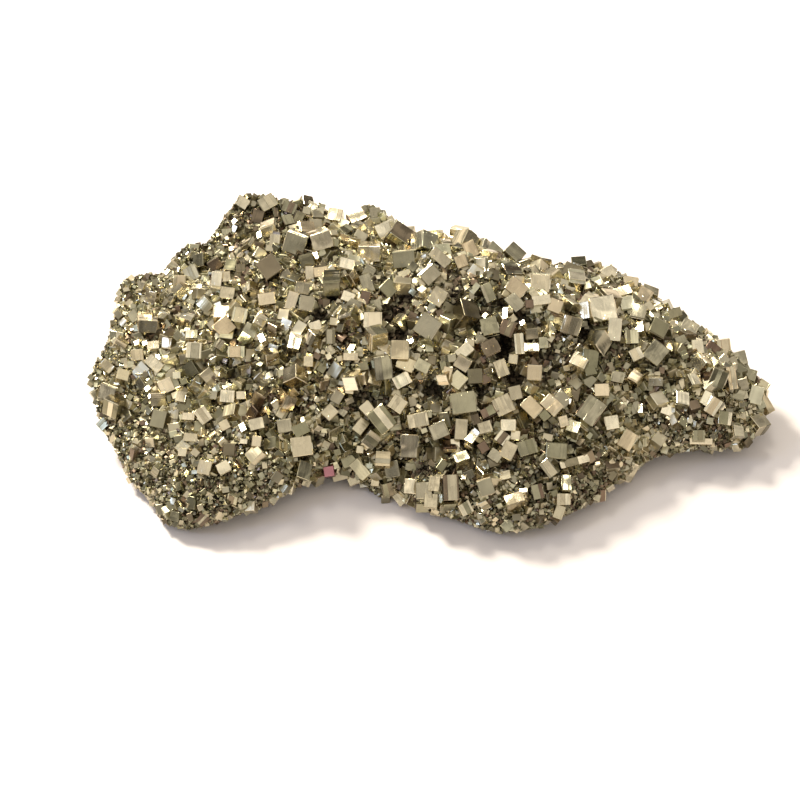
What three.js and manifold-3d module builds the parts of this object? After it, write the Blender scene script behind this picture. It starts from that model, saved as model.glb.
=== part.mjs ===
import * as THREE from 'three';
import { mergeVertices } from 'three/addons/utils/BufferGeometryUtils.js';
import Module from 'manifold-3d';

// A hand specimen of pyrite: a low mound of cubic crystals that grew into each other.
// Sizes are millimetres and +Z is up. +X runs along the length and +Y to the back.

// The mound's widest line, from the right end round by the back: x, y and height over the table.
const RIM = [
  [61.7, -6.4, 6], [58.5, -2, 8], [53.5, 4.5, 9], [47, 10, 10], [40.3, 15.2, 11], [32.7, 20.8, 12],
  [24.5, 18.2, 13], [18, 20.2, 13.5], [11, 23, 15], [5, 25, 16], [-1, 24.5, 16], [-6.5, 28.5, 16],
  [-11.5, 33, 16], [-16.5, 27.8, 16], [-21.5, 33.4, 16], [-28, 34, 16], [-35.3, 35.2, 16],
  [-38.8, 30.8, 15], [-42, 25, 14], [-46.5, 23.6, 14], [-50.5, 18.2, 13], [-57.2, 16.8, 13],
  [-58.5, 10, 12], [-59.8, 3.3, 10], [-62.2, -3.4, 9], [-60, -11.3, 5.5], [-57.3, -16, 3.5],
  [-54.3, -21.6, 2], [-50, -26.5, 1.5], [-47.5, -30.9, 1.5], [-42.5, -32.7, 2.3], [-37.5, -31.6, 3.9],
  [-31, -29.3, 3.8], [-25.5, -25.2, 3.8], [-20, -22.2, 3.3], [-15, -22, 2.3], [-10, -24.4, 0.8],
  [-5, -26, 1.2], [0, -29.6, 2.8], [6, -30.7, 1.5], [12, -33.4, 2], [20, -32.3, 3], [26.3, -28.9, 3.2],
  [31.5, -25.1, 3.2], [36.5, -21, 3.8], [41, -17.6, 3.6], [48.5, -16.1, 4.2], [56.8, -15.7, 4],
  [60.3, -10.9, 3.8],
];
const MIDDLE = [-2, -1];

// From where the places are measured to the origin, which is the middle of the box in plan.
const TO_ORIGIN = new THREE.Vector3(-0.4, -1.45, 0);

// The body stops short of that line, because crystals reach it, and less where they are fine.
const RIM_INSET = 1;
const FINE_INSET = 0.6;

// Places where only fine crystals grow: x, y, half width along X, half width along Y.
const FINE_PLACES = [
  [-50, 24, 13, 12], [-58, -14, 8, 12], [-50, -26, 14, 11], [48, -17, 16, 7], [-30, -28, 16, 6],
  [-40, 32, 12, 7], [28, -29, 18, 6], [-60, 2, 5, 9], [2, -31, 14, 4],
];

// The crown's height under its hills, and how late it falls to the rim.
const CROWN_BASE = 9;
const CROWN_FALL = 4;

// Hills and hollows of the crown: x, y, half width along X, half width along Y, rise.
const LUMPS = [
  [3, 4, 44, 27, 15],
  [-27, 22, 13, 12, 4.5],
  [-34, 2, 12, 10, 1.5],
  [-8, 13, 4, 11, -3],
  [6, 12, 9, 8, 2],
  [-6, -8, 8, 6, 2],
  [24, 2, 12, 9, 2],
  [-1, -21, 9, 2.6, -4],
  [8, -28, 10, 5, 1.5],
  [53, -5, 8, 8, 3.5],
  [-42, -23, 10, 7, 2],
  [-19, -20, 8, 6, -1.5],
  [40, -12, 9, 6, -2],
  [-50, 8, 8, 9, 1.5],
];

// The underside: how high it vaults over the table, and how late it rises to the rim.
const VAULT = 4.2;
const VAULT_RISE = 7;

// Lumps of the underside that it stands on: x, y, half width along X, half width along Y.
const FEET = [
  [-41, -23, 10, 9], [11, -24, 11, 9], [47, -8, 11, 9], [-27, 20, 14, 13], [22, 8, 14, 11],
];
const FOOT_DEPTH = 8;

// Ripples: height, how fast they run along X and along Y, and where they start on each.
const CROWN_RIPPLE = [0.7, 0.42, 0.5, 0.9, 1.27];
const UNDER_RIPPLE = [0.5, 0.36, 0.4, -0.5, 1.1];

// Crystals are measured on a picture plane that faces a viewer who looks down on the mound.
const VIEW_ELEVATION = 52;
const VIEW_DISTANCE = 420;
const VIEW_AIM = new THREE.Vector3(-5.6, -1.8, 0);
const SEARCH_REACH = 50;
const SEARCH_STEP = 0.25;
const SLOPE_STEP = 0.4;

// Across, up, width and height of the main face, how far it faces right and up, and its turn.
const LARGE_CRYSTALS = [
  [-54.1, 1.3, 3.1, 2.7, -25, 40, 0], [-54.1, 6.3, 2.5, 1.7, -25, 55, -20],
  [-53.5, -1.7, 3.1, 3, -30, 22, 0], [-52.4, 11.9, 2.7, 1.5, -20, 40, 5],
  [-48.5, 8.3, 2.2, 2, 0, 52, 5], [-46.5, 13.5, 3.4, 2.5, 10, 25, -12],
  [-45.6, 10.2, 2.2, 1.7, -10, 84, 15], [-45.4, 6.7, 3.2, 2, -8, 55, -35],
  [-44.6, -3.5, 2.6, 3.1, -5, 52, -10], [-40.7, 21.7, 2.4, 2.6, 0, 46, -5],
  [-39.1, -3, 2.2, 1.3, 0, 66, -5], [-38.7, -6.9, 2.4, 1.5, 0, 60, -5],
  [-38.5, 12.2, 2.2, 1.8, 0, 85, 0], [-38, 9.1, 2.8, 2.8, -5, 50, 0],
  [-36.3, -2.8, 2.2, 2.8, 5, 52, 31], [-36.1, -12.4, 2.3, 2.4, -15, 60, 0],
  [-36.1, 17.6, 2.7, 2.2, -25, 48, -25], [-33.9, 22, 2, 3.3, -10, 50, 0],
  [-33, 16.3, 2.8, 2.6, 0, 85, 0], [-32.6, -12.4, 2.2, 1.9, 10, 62, 20],
  [-32.4, 13.5, 3.3, 3.1, 8, 52, 35], [-31.9, 0.7, 2.6, 2.2, 0, 50, -5],
  [-31.9, 19.8, 2.6, 2.2, -10, 60, 0], [-30.2, 8.9, 3, 2, 0, 48, 0],
  [-29.6, 15.7, 2.6, 2.8, 0, 62, -12], [-29.1, 36.5, 2.4, 2, -15, 50, -20],
  [-26.5, -4.4, 2.6, 2, 2, 55, 12], [-26.3, 33.9, 2.3, 2.4, -20, 50, 0],
  [-24.6, 18.7, 3.1, 2.2, 0, 60, 8], [-24.4, 36.5, 3.2, 2.7, 20, 66, 15],
  [-24.1, 24.6, 3.7, 3.8, -8, 62, 42], [-23.1, 29.3, 2, 2.6, -10, 50, 0],
  [-21.3, -4.8, 2.6, 2.2, 0, 48, 10], [-20.4, -0.6, 2.3, 2.5, 20, 25, -35],
  [-20.4, 35.6, 2.7, 2.2, -25, 60, 0], [-20, 18.3, 1.9, 3.3, -12, 52, -8],
  [-19.4, 10.9, 2.2, 3.1, 5, 80, -18], [-19.4, 28.7, 4.1, 3.8, -15, 40, -8],
  [-18.3, -5.4, 2.8, 2.2, -10, 60, 35], [-18.1, -8.5, 3.7, 3.4, 3, 58, 6],
  [-18, 20.6, 2.6, 2.1, 12, 40, -18], [-17.2, 17.8, 2.6, 2.6, 15, 48, -22],
  [-16.7, 23.5, 1.5, 2.4, 10, 50, -5], [-16.3, 35.7, 2.2, 2, 10, 75, -35],
  [-15.6, 13.5, 2.2, 2, -5, 55, 22], [-15.6, 32, 2.4, 2.8, 10, 48, -10],
  [-14.6, 23.7, 2.6, 1.9, 5, 70, 3], [-14.4, 29.3, 3.8, 3.2, 15, 38, 5],
  [-13, -2.2, 2.4, 2.1, 0, 64, 45], [-12.8, 11.7, 1.7, 2.6, 10, 52, -8],
  [-12.6, 20.4, 3.1, 2.8, 0, 22, 2], [-11.9, -15, 2.8, 1.5, -10, 45, 22],
  [-9.8, 25.2, 2.6, 1.9, 15, 55, -25], [-9.6, 19.1, 2.2, 1.9, 10, 70, -30],
  [-9.1, 8, 2.6, 1.3, 0, 60, -2], [-8.7, -14.8, 2.2, 1.7, 0, 62, 22],
  [-8.1, 34.3, 3.2, 2.8, -8, 84, 38], [-7.4, -12.8, 2, 3.7, 5, 52, 37],
  [-7.2, -4.8, 2.8, 1.9, 15, 66, 40], [-6.5, 18.9, 1.7, 2.4, -25, 60, 5],
  [-6.1, -1.5, 2, 2.2, 0, 60, 40], [-6.1, 21.5, 2.1, 3.3, -12, 50, 28],
  [-5.7, 26.9, 4.1, 2.9, 0, 36, 0], [-5.2, -7.4, 2.8, 2.8, 20, 30, 38],
  [-5, 14.8, 3.3, 2.8, 0, 60, 0],
  [-4.6, 34.4, 2.1, 2.2, 20, 48, -10], [-3.3, -3.5, 3.5, 4.4, 3, 52, 36],
  [-3, 5.9, 3.3, 4.2, 25, 40, -10], [-2.4, 31.3, 3.9, 3.2, 12, 50, 15],
  [-2, -16.5, 2.6, 2.7, 15, 25, 5], [-2, 20.6, 2.7, 2.8, 25, 55, 25],
  [-0.4, -0.7, 2.8, 2.6, 10, 58, -42], [0, -18.5, 1.9, 2.4, 10, 48, 30], [0, 9.3, 3.2, 3.3, 8, 56, -8],
  [0.4, 3.7, 3, 2.2, 0, 58, 28], [0.7, 25.9, 4.2, 3, -18, 44, 18], [1.1, 6.7, 3.2, 2.3, 10, 64, -30],
  [1.7, -8.5, 3, 4.3, 0, 34, -3], [2, -15.9, 2.4, 2.6, 0, 48, -5], [3.3, -3.7, 3.7, 2.4, -10, 50, 18],
  [4.1, 6.3, 2.6, 2, -5, 48, -25], [5, 13.5, 3.9, 3.9, -15, 50, -22], [5.6, 23.1, 3.3, 2.6, 8, 50, 36],
  [5.7, -18.5, 2.4, 2.4, 0, 62, -4], [6.3, -15.4, 1.9, 2.6, -5, 60, -3],
  [7, 19.1, 2.6, 3.2, 10, 60, -40], [7.2, -5.6, 3.1, 2.8, -3, 48, 26], [7.4, 26.3, 3.9, 2, 0, 50, -41],
  [9.4, -16.1, 2.8, 4.5, 8, 56, -4], [10.4, 30.2, 2.9, 2.6, -28, 28, 10],
  [11.3, -10.4, 2.6, 1.8, 0, 85, 24], [11.3, -5.4, 2.2, 3.7, 8, 46, -10],
  [11.3, 25.6, 2.1, 2.2, -12, 50, 30], [11.5, 6.7, 2.7, 2.3, -20, 40, -15],
  [11.7, -0.4, 4.4, 3.8, 0, 66, 8], [11.9, 9.1, 3, 2, -5, 56, 46], [12.2, -20, 2.2, 2.2, 10, 50, 20],
  [13, 27.8, 2.4, 3, 0, 54, 24], [13.1, 30.4, 2.3, 1.7, 15, 50, 10],
  [13.5, -6.5, 1.7, 3.1, -25, 84, -10], [13.9, 4.4, 2.7, 2.6, 20, 50, -12],
  [15, 25, 2.6, 2.3, 0, 42, 0], [15.7, -5, 2.4, 2, -10, 48, 25], [15.9, -16.1, 2.6, 2.8, 5, 50, 14],
  [16.3, 19.8, 2, 3.3, 0, 52, 22], [16.5, -2, 3, 1.7, -15, 68, 40], [16.5, 13.7, 3, 3.2, -12, 62, 25],
  [16.7, 9.8, 3, 2.6, 18, 62, 10], [17.6, -10.2, 2.2, 1.9, 0, 62, -36], [18.7, 5.9, 2.2, 3, 0, 56, 20],
  [18.9, -7, 2.2, 2.2, -10, 50, -30], [19.1, -0.9, 3.3, 3.2, 8, 58, 20],
  [19.8, 13.3, 2.6, 2.8, 15, 60, -35], [20, -9.3, 2.5, 3, -20, 55, -10], [20, -4.6, 2.6, 2.1, 0, 66, 0],
  [21.1, -18.1, 3.3, 2, 0, 84, 20], [21.3, 1.3, 2.2, 2.4, 8, 48, 6], [21.5, 20.7, 3.5, 2.8, 5, 52, -42],
  [22, 10.4, 1.7, 3.7, -18, 58, 20], [23.5, -8.7, 3.4, 2.6, 20, 60, 0],
  [24.3, -1.3, 3.3, 2.6, 0, 56, -45], [24.3, 9.8, 2.6, 1.8, 5, 85, -5],
  [24.4, 12.2, 2.3, 2, 20, 30, -10], [24.8, 5, 2.6, 2.6, 3, 48, -6], [25.4, -16.9, 2, 2.6, 10, 55, 5],
  [25.9, 21.5, 3.4, 3.2, -10, 46, 4], [26.1, 18.5, 3.3, 1.7, 5, 62, 4],
  [27.4, -12.6, 1.9, 3.2, 10, 50, 30], [28, -0.9, 3.5, 2.6, 0, 56, -43],
  [28.7, 17.4, 2.4, 2.4, 12, 56, -30], [28.9, -9.3, 3.8, 2.6, 20, 55, -20],
  [29.4, -20.7, 1.7, 2.4, 0, 50, -20], [30.2, -18.3, 2.4, 2, 0, 52, 0],
  [30.7, -15.2, 1.7, 3.1, 5, 85, -5], [31.9, 23.7, 3.8, 2.6, -15, 58, -14],
  [32, -4.8, 2.2, 2.4, 0, 85, -20], [32.2, -11.3, 5.2, 1.4, 0, 70, 15], [33, 7.2, 3, 2.1, -8, 78, -20],
  [34.4, 18.3, 1.9, 3.3, -15, 56, -30], [35.2, -1.9, 3.7, 4.6, 3, 54, -38],
  [37.4, 16.9, 4.5, 4.5, 10, 60, 2], [38.5, 23.5, 2.6, 2.4, 12, 50, 22],
  [39.1, -4.1, 2.4, 2.4, 5, 60, 6], [39.6, 13, 2.4, 4.1, 12, 50, -14],
  [40.2, 4.3, 2.2, 1.9, 5, 58, -14], [41.1, 20.2, 3.3, 2, 0, 86, 20], [41.9, 18, 2.6, 2.7, -6, 80, 15],
  [42, -7.4, 2.6, 3.3, 0, 50, -32], [42.6, 22, 2.8, 1.7, 15, 60, -20],
  [42.8, 11.7, 2.4, 2.6, 8, 60, -4], [44.1, 16.5, 2.6, 2.9, 0, 85, -14],
  [45.2, 19.4, 2.6, 2.6, 15, 48, -42], [47.2, 3.3, 2.6, 1.5, 0, 35, 0],
  [47.2, 8.7, 3.5, 3.7, 5, 44, -42], [50.2, 15.9, 3.7, 1.7, 5, 62, 15],
  [53.3, 13.3, 3, 2.8, -5, 56, -25], [55, 9.8, 2, 2.6, -8, 50, 15], [55.2, -6.5, 2.2, 1.9, 0, 62, 0],
  [57.8, -1.1, 2.2, 3.1, 0, 52, -32], [58.7, 3.9, 2.8, 3.3, -15, 35, -10],
  [59.8, 9.6, 2.6, 3.2, 14, 48, -3], [60, -3.3, 2.4, 2.4, 15, 60, -20],
  [61.3, 4.1, 1.7, 4.1, 25, 55, -12], [64.4, 4.8, 2.8, 2.1, 10, 60, -25],
  [65.7, 0.9, 2.4, 3.3, -12, 48, -4], [67.6, -0.2, 1.4, 4.5, 35, 60, 0],
];

// How much of its depth a measured crystal stands out by.
const STAND_OUT = 0.6;

// Crystals at random between them, and how far apart they keep as a share of their edges.
const SEED = 20261;
const SCATTER_COUNT = 109;
const SCATTER_TRIES = 20000;
const SPACING = 0.62;
const FARTHEST_RIM = 64;

// Some of them lie under the rim, no further in than this share of the way out.
const UNDER_SHARE = 0.25;
const UNDER_FROM = 0.8;

// Their edges: the least, how they spread everywhere, and how much more where they are coarse.
const LEAST_EDGE = 1.9;
const EDGE_SPREAD = 0.5;
const COARSE_SPREAD = 1.9;
const EDGE_RATIO = [0.85, 1.15];
const RAISED = [0.05, 0.3];

// They are coarse around this x within this reach, and finer in front of this y.
const COARSE_X = 14;
const COARSE_REACH = 40;
const FRONT_Y = -24;
const FRONT_SHARE = 0.6;

// Rings of the body's facets: how far out they run, and 1 in how many rim corners they follow.
const CROWN_RINGS = [[0.26, 4], [0.5, 2], [0.7, 2], [0.87, 1], [1, 1]];
const UNDER_RINGS = [[0.84, 1], [0.62, 2], [0.32, 4]];
const FULL_TURN = 2 * Math.PI;
const ORIGIN = new THREE.Vector3();
const UPWARD = new THREE.Vector3(0, 0, 1);

const PYRITE = new THREE.MeshStandardMaterial({ color: '#b5a176', roughness: 0.3, metalness: 1 });

// A steady stream of numbers from 0 to 1, the same on every run.
function numberStream(seed) {
  let state = seed;
  return () => {
    state = (Math.imul(state, 1664525) + 1013904223) >>> 0;
    return state / 4294967296;
  };
}

function hill(x, y, [cx, cy, wide, deep]) {
  return Math.exp(-(((x - cx) / wide) ** 2) - ((y - cy) / deep) ** 2);
}

// 1 where only fine crystals grow, falling to 0 around such places.
function finenessAt(x, y) {
  return Math.min(1, FINE_PLACES.reduce((sum, spot) => sum + hill(x, y, spot), 0));
}

// The rim as direction, distance from the middle and height, in order of direction.
const rimCorners = RIM.map(([x, y, z]) => {
  const dx = x - MIDDLE[0];
  const dy = y - MIDDLE[1];
  const inset = RIM_INSET + (FINE_INSET - RIM_INSET) * finenessAt(x, y);
  return { angle: Math.atan2(dy, dx), radius: Math.hypot(dx, dy) - inset, z };
}).sort((a, b) => a.angle - b.angle);

// A smooth curve from one value to the next, with slopes taken from their neighbours.
function smooth(before, from, to, after, t) {
  const slopeIn = (to - before) / 2;
  const slopeOut = (after - from) / 2;
  const bend = 3 * (to - from) - 2 * slopeIn - slopeOut;
  const twist = 2 * (from - to) + slopeIn + slopeOut;
  return from + t * (slopeIn + t * (bend + t * twist));
}

function rimAt(angle) {
  const count = rimCorners.length;
  const next = Math.max(0, rimCorners.findIndex((corner) => corner.angle > angle));
  const corner = (step) => rimCorners[(next + step + count) % count];
  const gap = (corner(0).angle - corner(-1).angle + FULL_TURN) % FULL_TURN;
  const t = ((angle - corner(-1).angle + FULL_TURN) % FULL_TURN) / gap;
  const along = (key) => smooth(corner(-2)[key], corner(-1)[key], corner(0)[key], corner(1)[key], t);
  return { radius: along('radius'), z: along('z') };
}

function ripple(x, y, [height, alongX, alongY, startX, startY]) {
  return height * Math.sin(alongX * x + startX) * Math.sin(alongY * y + startY);
}

function crownHeight(x, y) {
  const base = CROWN_BASE + ripple(x, y, CROWN_RIPPLE);
  return LUMPS.reduce((z, lump) => z + lump[4] * hill(x, y, lump), base);
}

function underHeight(x, y) {
  const base = VAULT + ripple(x, y, UNDER_RIPPLE);
  return FEET.reduce((z, foot) => z - FOOT_DEPTH * hill(x, y, foot), base);
}

// How far out a place is, from 0 in the middle to 1 on the rim, with the rim's height there.
function polar(x, y) {
  const dx = x - MIDDLE[0];
  const dy = y - MIDDLE[1];
  const rim = rimAt(Math.atan2(dy, dx));
  return { out: Math.hypot(dx, dy) / rim.radius, rimZ: rim.z };
}

function topAt(x, y) {
  const { out, rimZ } = polar(x, y);
  const fall = Math.sqrt(1 - Math.min(1, out) ** CROWN_FALL);
  return rimZ + (crownHeight(x, y) - rimZ) * fall;
}

function bottomAt(x, y) {
  const { out, rimZ } = polar(x, y);
  const rise = Math.min(1, out) ** VAULT_RISE;
  return underHeight(x, y) * (1 - rise) + rimZ * rise;
}

function place(angle, out, heightAt) {
  const { radius } = rimAt(angle);
  const x = MIDDLE[0] + out * radius * Math.cos(angle);
  const y = MIDDLE[1] + out * radius * Math.sin(angle);
  return new THREE.Vector3(x, y, heightAt(x, y));
}

function ringOf([out, share], heightAt) {
  const corners = rimCorners.filter((_, i) => i % share === 0);
  return corners.map(({ angle }) => ({ angle, point: place(angle, out, heightAt) }));
}

// Facets between two rings: the ring whose next corner comes first takes the next step.
function facetsBetween(first, second) {
  const facets = [];
  const corner = (ring, k) => ring[k % ring.length];
  const angleOf = (ring, k) => corner(ring, k).angle + (k < ring.length ? 0 : FULL_TURN);
  let i = 0;
  let j = 0;
  while (i < first.length || j < second.length) {
    const firstComesNext = angleOf(first, i + 1) <= angleOf(second, j + 1);
    const stepFirst = i < first.length && (j === second.length || firstComesNext);
    const third = stepFirst ? corner(first, i + 1) : corner(second, j + 1);
    facets.push(corner(first, i).point, corner(second, j).point, third.point);
    i += stepFirst ? 1 : 0;
    j += stepFirst ? 0 : 1;
  }
  return facets;
}

function fan(ring, tip, upward) {
  return ring.flatMap(({ point }, i) => {
    const next = ring[(i + 1) % ring.length].point;
    return upward ? [tip, point, next] : [tip, next, point];
  });
}

// Rings from the crown's middle over the rim to the middle of the underside.
function bodyGeometry() {
  const crown = CROWN_RINGS.map((ring) => ringOf(ring, topAt));
  const under = UNDER_RINGS.map((ring) => ringOf(ring, bottomAt));
  const rings = [...crown, ...under];
  const points = fan(rings[0], place(0, 0, topAt), true);
  for (let i = 1; i < rings.length; i += 1) {
    points.push(...facetsBetween(rings[i - 1], rings[i]));
  }
  points.push(...fan(rings.at(-1), place(0, 0, bottomAt), false));
  return new THREE.BufferGeometry().setFromPoints(points);
}

// The direction straight out of the mound at a place on it.
function normalAt(x, y, heightAt) {
  const slopeX = (heightAt(x + SLOPE_STEP, y) - heightAt(x - SLOPE_STEP, y)) / (2 * SLOPE_STEP);
  const slopeY = (heightAt(x, y + SLOPE_STEP) - heightAt(x, y - SLOPE_STEP)) / (2 * SLOPE_STEP);
  const upward = heightAt === topAt ? 1 : -1;
  return new THREE.Vector3(-slopeX * upward, -slopeY * upward, upward).normalize();
}

// A box with its main face turned towards facing, spun by turn about it.
function crystalGeometry(centre, size, facing, turn) {
  const aim = new THREE.Matrix4().lookAt(facing, ORIGIN, UPWARD);
  const spin = new THREE.Matrix4().makeRotationZ(turn);
  const geometry = new THREE.BoxGeometry(size.x, size.y, size.z);
  geometry.applyMatrix4(aim.multiply(spin).setPosition(centre));
  return geometry;
}

// The direction that faces right and up from the viewer's side.
function facingFrom(right, up) {
  const azimuth = THREE.MathUtils.degToRad(right - 90);
  const elevation = THREE.MathUtils.degToRad(up);
  return new THREE.Vector3(
    Math.cos(elevation) * Math.cos(azimuth),
    Math.cos(elevation) * Math.sin(azimuth),
    Math.sin(elevation),
  );
}

// How far a spot is off the mound, negative inside it, and its share of the way in to the rim.
function offMound(spot) {
  const { x, y, z } = spot;
  const inward = Math.max(0, 1 - 1 / polar(x, y).out);
  const beyond = inward * Math.hypot(x - MIDDLE[0], y - MIDDLE[1]);
  return { miss: Math.max(z - topAt(x, y), bottomAt(x, y) - z) + beyond, inward };
}

// Where the viewer's line through a point of the picture plane first meets the mound. A line that
// passes beside the mound ends on it, next to where it comes closest.
function seenAt(across, up) {
  const towardsViewer = facingFrom(0, VIEW_ELEVATION);
  const overhead = facingFrom(180, 90 - VIEW_ELEVATION);
  const eye = towardsViewer.multiplyScalar(VIEW_DISTANCE).add(VIEW_AIM);
  const point = overhead.multiplyScalar(up).add(VIEW_AIM);
  point.x += across;
  const ray = point.sub(eye).normalize();
  let nearest = { miss: Infinity };
  for (let t = VIEW_DISTANCE - SEARCH_REACH; t < VIEW_DISTANCE + SEARCH_REACH; t += SEARCH_STEP) {
    const spot = ray.clone().multiplyScalar(t).add(eye);
    const { miss, inward } = offMound(spot);
    if (miss < 0) {
      return spot;
    }
    if (miss < nearest.miss) {
      nearest = { miss, inward, spot };
    }
  }
  return nearest.spot.lerp(new THREE.Vector3(...MIDDLE, nearest.spot.z), nearest.inward);
}

// A crystal stands out of the mound towards the viewer by a share of its depth.
function largeCrystals() {
  return LARGE_CRYSTALS.map(([across, up, width, height, right, lift, turn]) => {
    const facing = facingFrom(right, lift);
    const depth = Math.sqrt(width * height);
    const centre = seenAt(across, up);
    centre.addScaledVector(facingFrom(0, VIEW_ELEVATION), STAND_OUT * depth);
    centre.addScaledVector(facing, -depth / 2);
    const size = new THREE.Vector3(width, height, depth);
    return { centre, size, facing, turn: THREE.MathUtils.degToRad(turn) };
  });
}

// Crystals are coarse along the middle and the back, finer at the left and along the lower front.
function edgeAt(x, y, share) {
  const along = Math.exp(-(((x - COARSE_X) / COARSE_REACH) ** 2));
  const coarse = along * (y > FRONT_Y ? 1 : FRONT_SHARE);
  return LEAST_EDGE + (COARSE_SPREAD * coarse + EDGE_SPREAD) * share;
}

function between([low, high], share) {
  return low + (high - low) * share;
}

// One crystal at a random place and turn. A longer rim takes a larger share of them.
function scatteredCrystal(draw) {
  const angle = (2 * draw() - 1) * Math.PI;
  const out = Math.sqrt(draw());
  const under = draw() < UNDER_SHARE;
  const heightAt = under ? bottomAt : topAt;
  const centre = place(angle, under ? UNDER_FROM + (1 - UNDER_FROM) * out : out, heightAt);
  const chance = (rimAt(angle).radius / FARTHEST_RIM) ** 2 * (1 - finenessAt(centre.x, centre.y));
  const wanted = draw() < chance;
  const edge = edgeAt(centre.x, centre.y, draw());
  const [high, deep] = [between(EDGE_RATIO, draw()), between(EDGE_RATIO, draw())];
  const size = new THREE.Vector3(edge, edge * high, edge * deep);
  const facing = facingFrom(360 * draw(), THREE.MathUtils.radToDeg(Math.asin(2 * draw() - 1)));
  const turn = FULL_TURN * draw();
  const outward = normalAt(centre.x, centre.y, heightAt);
  centre.addScaledVector(outward, edge * between(RAISED, draw()));
  return { wanted, centre, size, facing, turn };
}

function scatteredCrystals(taken) {
  const draw = numberStream(SEED);
  const found = [];
  for (let i = 0; i < SCATTER_TRIES && found.length < SCATTER_COUNT; i += 1) {
    const crystal = scatteredCrystal(draw);
    const near = [...taken, ...found].some(({ centre, size }) => (
      centre.distanceTo(crystal.centre) < SPACING * (size.x + crystal.size.x)
    ));
    if (crystal.wanted && !near) {
      found.push(crystal);
    }
  }
  return found;
}

const wasm = await Module();
wasm.setup();

function solidFrom(geometry) {
  geometry.deleteAttribute('normal');
  geometry.deleteAttribute('uv');
  const merged = mergeVertices(geometry);
  return new wasm.Manifold(new wasm.Mesh({
    numProp: 3,
    vertProperties: new Float32Array(merged.attributes.position.array),
    triVerts: new Uint32Array(merged.index.array),
  }));
}

// The largest body, without the walls of any pocket that crystals closed over.
function outerShell(solid) {
  const shells = solid.decompose();
  return shells.reduce((a, b) => (b.volume() > a.volume() ? b : a));
}

function geometryFrom(solid) {
  const mesh = solid.getMesh();
  const geometry = new THREE.BufferGeometry();
  geometry.setAttribute('position', new THREE.BufferAttribute(mesh.vertProperties, 3));
  geometry.setIndex(new THREE.BufferAttribute(mesh.triVerts, 1));
  return geometry;
}

// Everything below the table's plane, so that the underside ends in broken flats that lie on it.
function belowTable() {
  const room = new THREE.BoxGeometry(4 * FARTHEST_RIM, 4 * FARTHEST_RIM, FARTHEST_RIM);
  room.translate(0, 0, -FARTHEST_RIM / 2);
  return solidFrom(room);
}

function clusterGeometry() {
  const large = largeCrystals();
  const crystals = [...large, ...scatteredCrystals(large)];
  let cluster = solidFrom(bodyGeometry());
  for (const { centre, size, facing, turn } of crystals) {
    cluster = cluster.add(solidFrom(crystalGeometry(centre, size, facing, turn)));
  }
  return geometryFrom(outerShell(cluster.subtract(belowTable())));
}

const specimen = new THREE.Group();
const cluster = new THREE.Mesh(clusterGeometry(), PYRITE);
cluster.name = 'pyrite_cluster';
cluster.position.copy(TO_ORIGIN);
specimen.add(cluster);

export default specimen;
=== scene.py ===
# %% [markdown]
# # A pyrite specimen
# Pyrite is iron sulphide. It grows as brassy cubes, and where thousands of them start side by side
# they grow into each other and make a crust such as this one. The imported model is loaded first, as
# a fixed frame: everything below sits where that model is.

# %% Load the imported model
import math

import bpy
import numpy as np
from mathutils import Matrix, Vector, noise


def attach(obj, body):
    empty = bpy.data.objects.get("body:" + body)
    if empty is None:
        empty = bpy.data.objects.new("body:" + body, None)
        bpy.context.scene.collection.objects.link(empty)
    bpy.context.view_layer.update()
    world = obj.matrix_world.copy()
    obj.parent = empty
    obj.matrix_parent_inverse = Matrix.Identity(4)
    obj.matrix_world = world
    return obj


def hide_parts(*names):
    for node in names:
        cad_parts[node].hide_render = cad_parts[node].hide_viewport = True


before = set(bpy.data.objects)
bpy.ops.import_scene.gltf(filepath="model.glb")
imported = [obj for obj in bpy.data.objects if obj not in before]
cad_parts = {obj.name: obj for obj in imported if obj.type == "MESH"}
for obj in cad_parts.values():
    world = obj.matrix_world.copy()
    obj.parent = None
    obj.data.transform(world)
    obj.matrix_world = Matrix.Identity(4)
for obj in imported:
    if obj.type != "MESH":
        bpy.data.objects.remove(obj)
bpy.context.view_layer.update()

NODE = "pyrite_cluster"
BODY = "root"
MM = 0.001


# %% [markdown]
# ## The mound under the crystals
# The specimen is a low mound with an uneven outline. It could be sculpted by hand, but a formula is
# easier to change: an outline of corners seen from above, a few hills and hollows for the crown,
# and an underside that vaults over the table between the lumps that it stands on. All of it is in
# millimetres, as a collector would measure it.

# %% The outline and the hills
RIM = np.array([
    # x, y and the height of the rim there
    (61.7, -6.4, 6), (58.5, -2, 8), (53.5, 4.5, 9), (47, 10, 10), (40.3, 15.2, 11),
    (32.7, 20.8, 12), (24.5, 18.2, 13), (18, 20.2, 13.5), (11, 23, 15), (5, 25, 16), (-1, 24.5, 16),
    (-6.5, 28.5, 16), (-11.5, 33, 16), (-16.5, 27.8, 16), (-21.5, 33.4, 16), (-28, 34, 16),
    (-35.3, 35.2, 16), (-38.8, 30.8, 15), (-42, 25, 14), (-46.5, 23.6, 14), (-50.5, 18.2, 13),
    (-57.2, 16.8, 13), (-58.5, 10, 12), (-59.8, 3.3, 10), (-62.2, -3.4, 9), (-60, -11.3, 5.5),
    (-57.3, -16, 3.5), (-54.3, -21.6, 2), (-50, -26.5, 1.5), (-47.5, -30.9, 1.5),
    (-42.5, -32.7, 2.3), (-37.5, -31.6, 3.9), (-31, -29.3, 3.8), (-25.5, -25.2, 3.8),
    (-20, -22.2, 3.3), (-15, -22, 2.3), (-10, -24.4, 0.8), (-5, -26, 1.2), (0, -29.6, 2.8),
    (6, -30.7, 1.5), (12, -33.4, 2), (20, -32.3, 3), (26.3, -28.9, 3.2), (31.5, -25.1, 3.2),
    (36.5, -21, 3.8), (41, -17.6, 3.6), (48.5, -16.1, 4.2), (56.8, -15.7, 4), (60.3, -10.9, 3.8),
])
MIDDLE = np.array([-2.0, -1.0])
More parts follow.
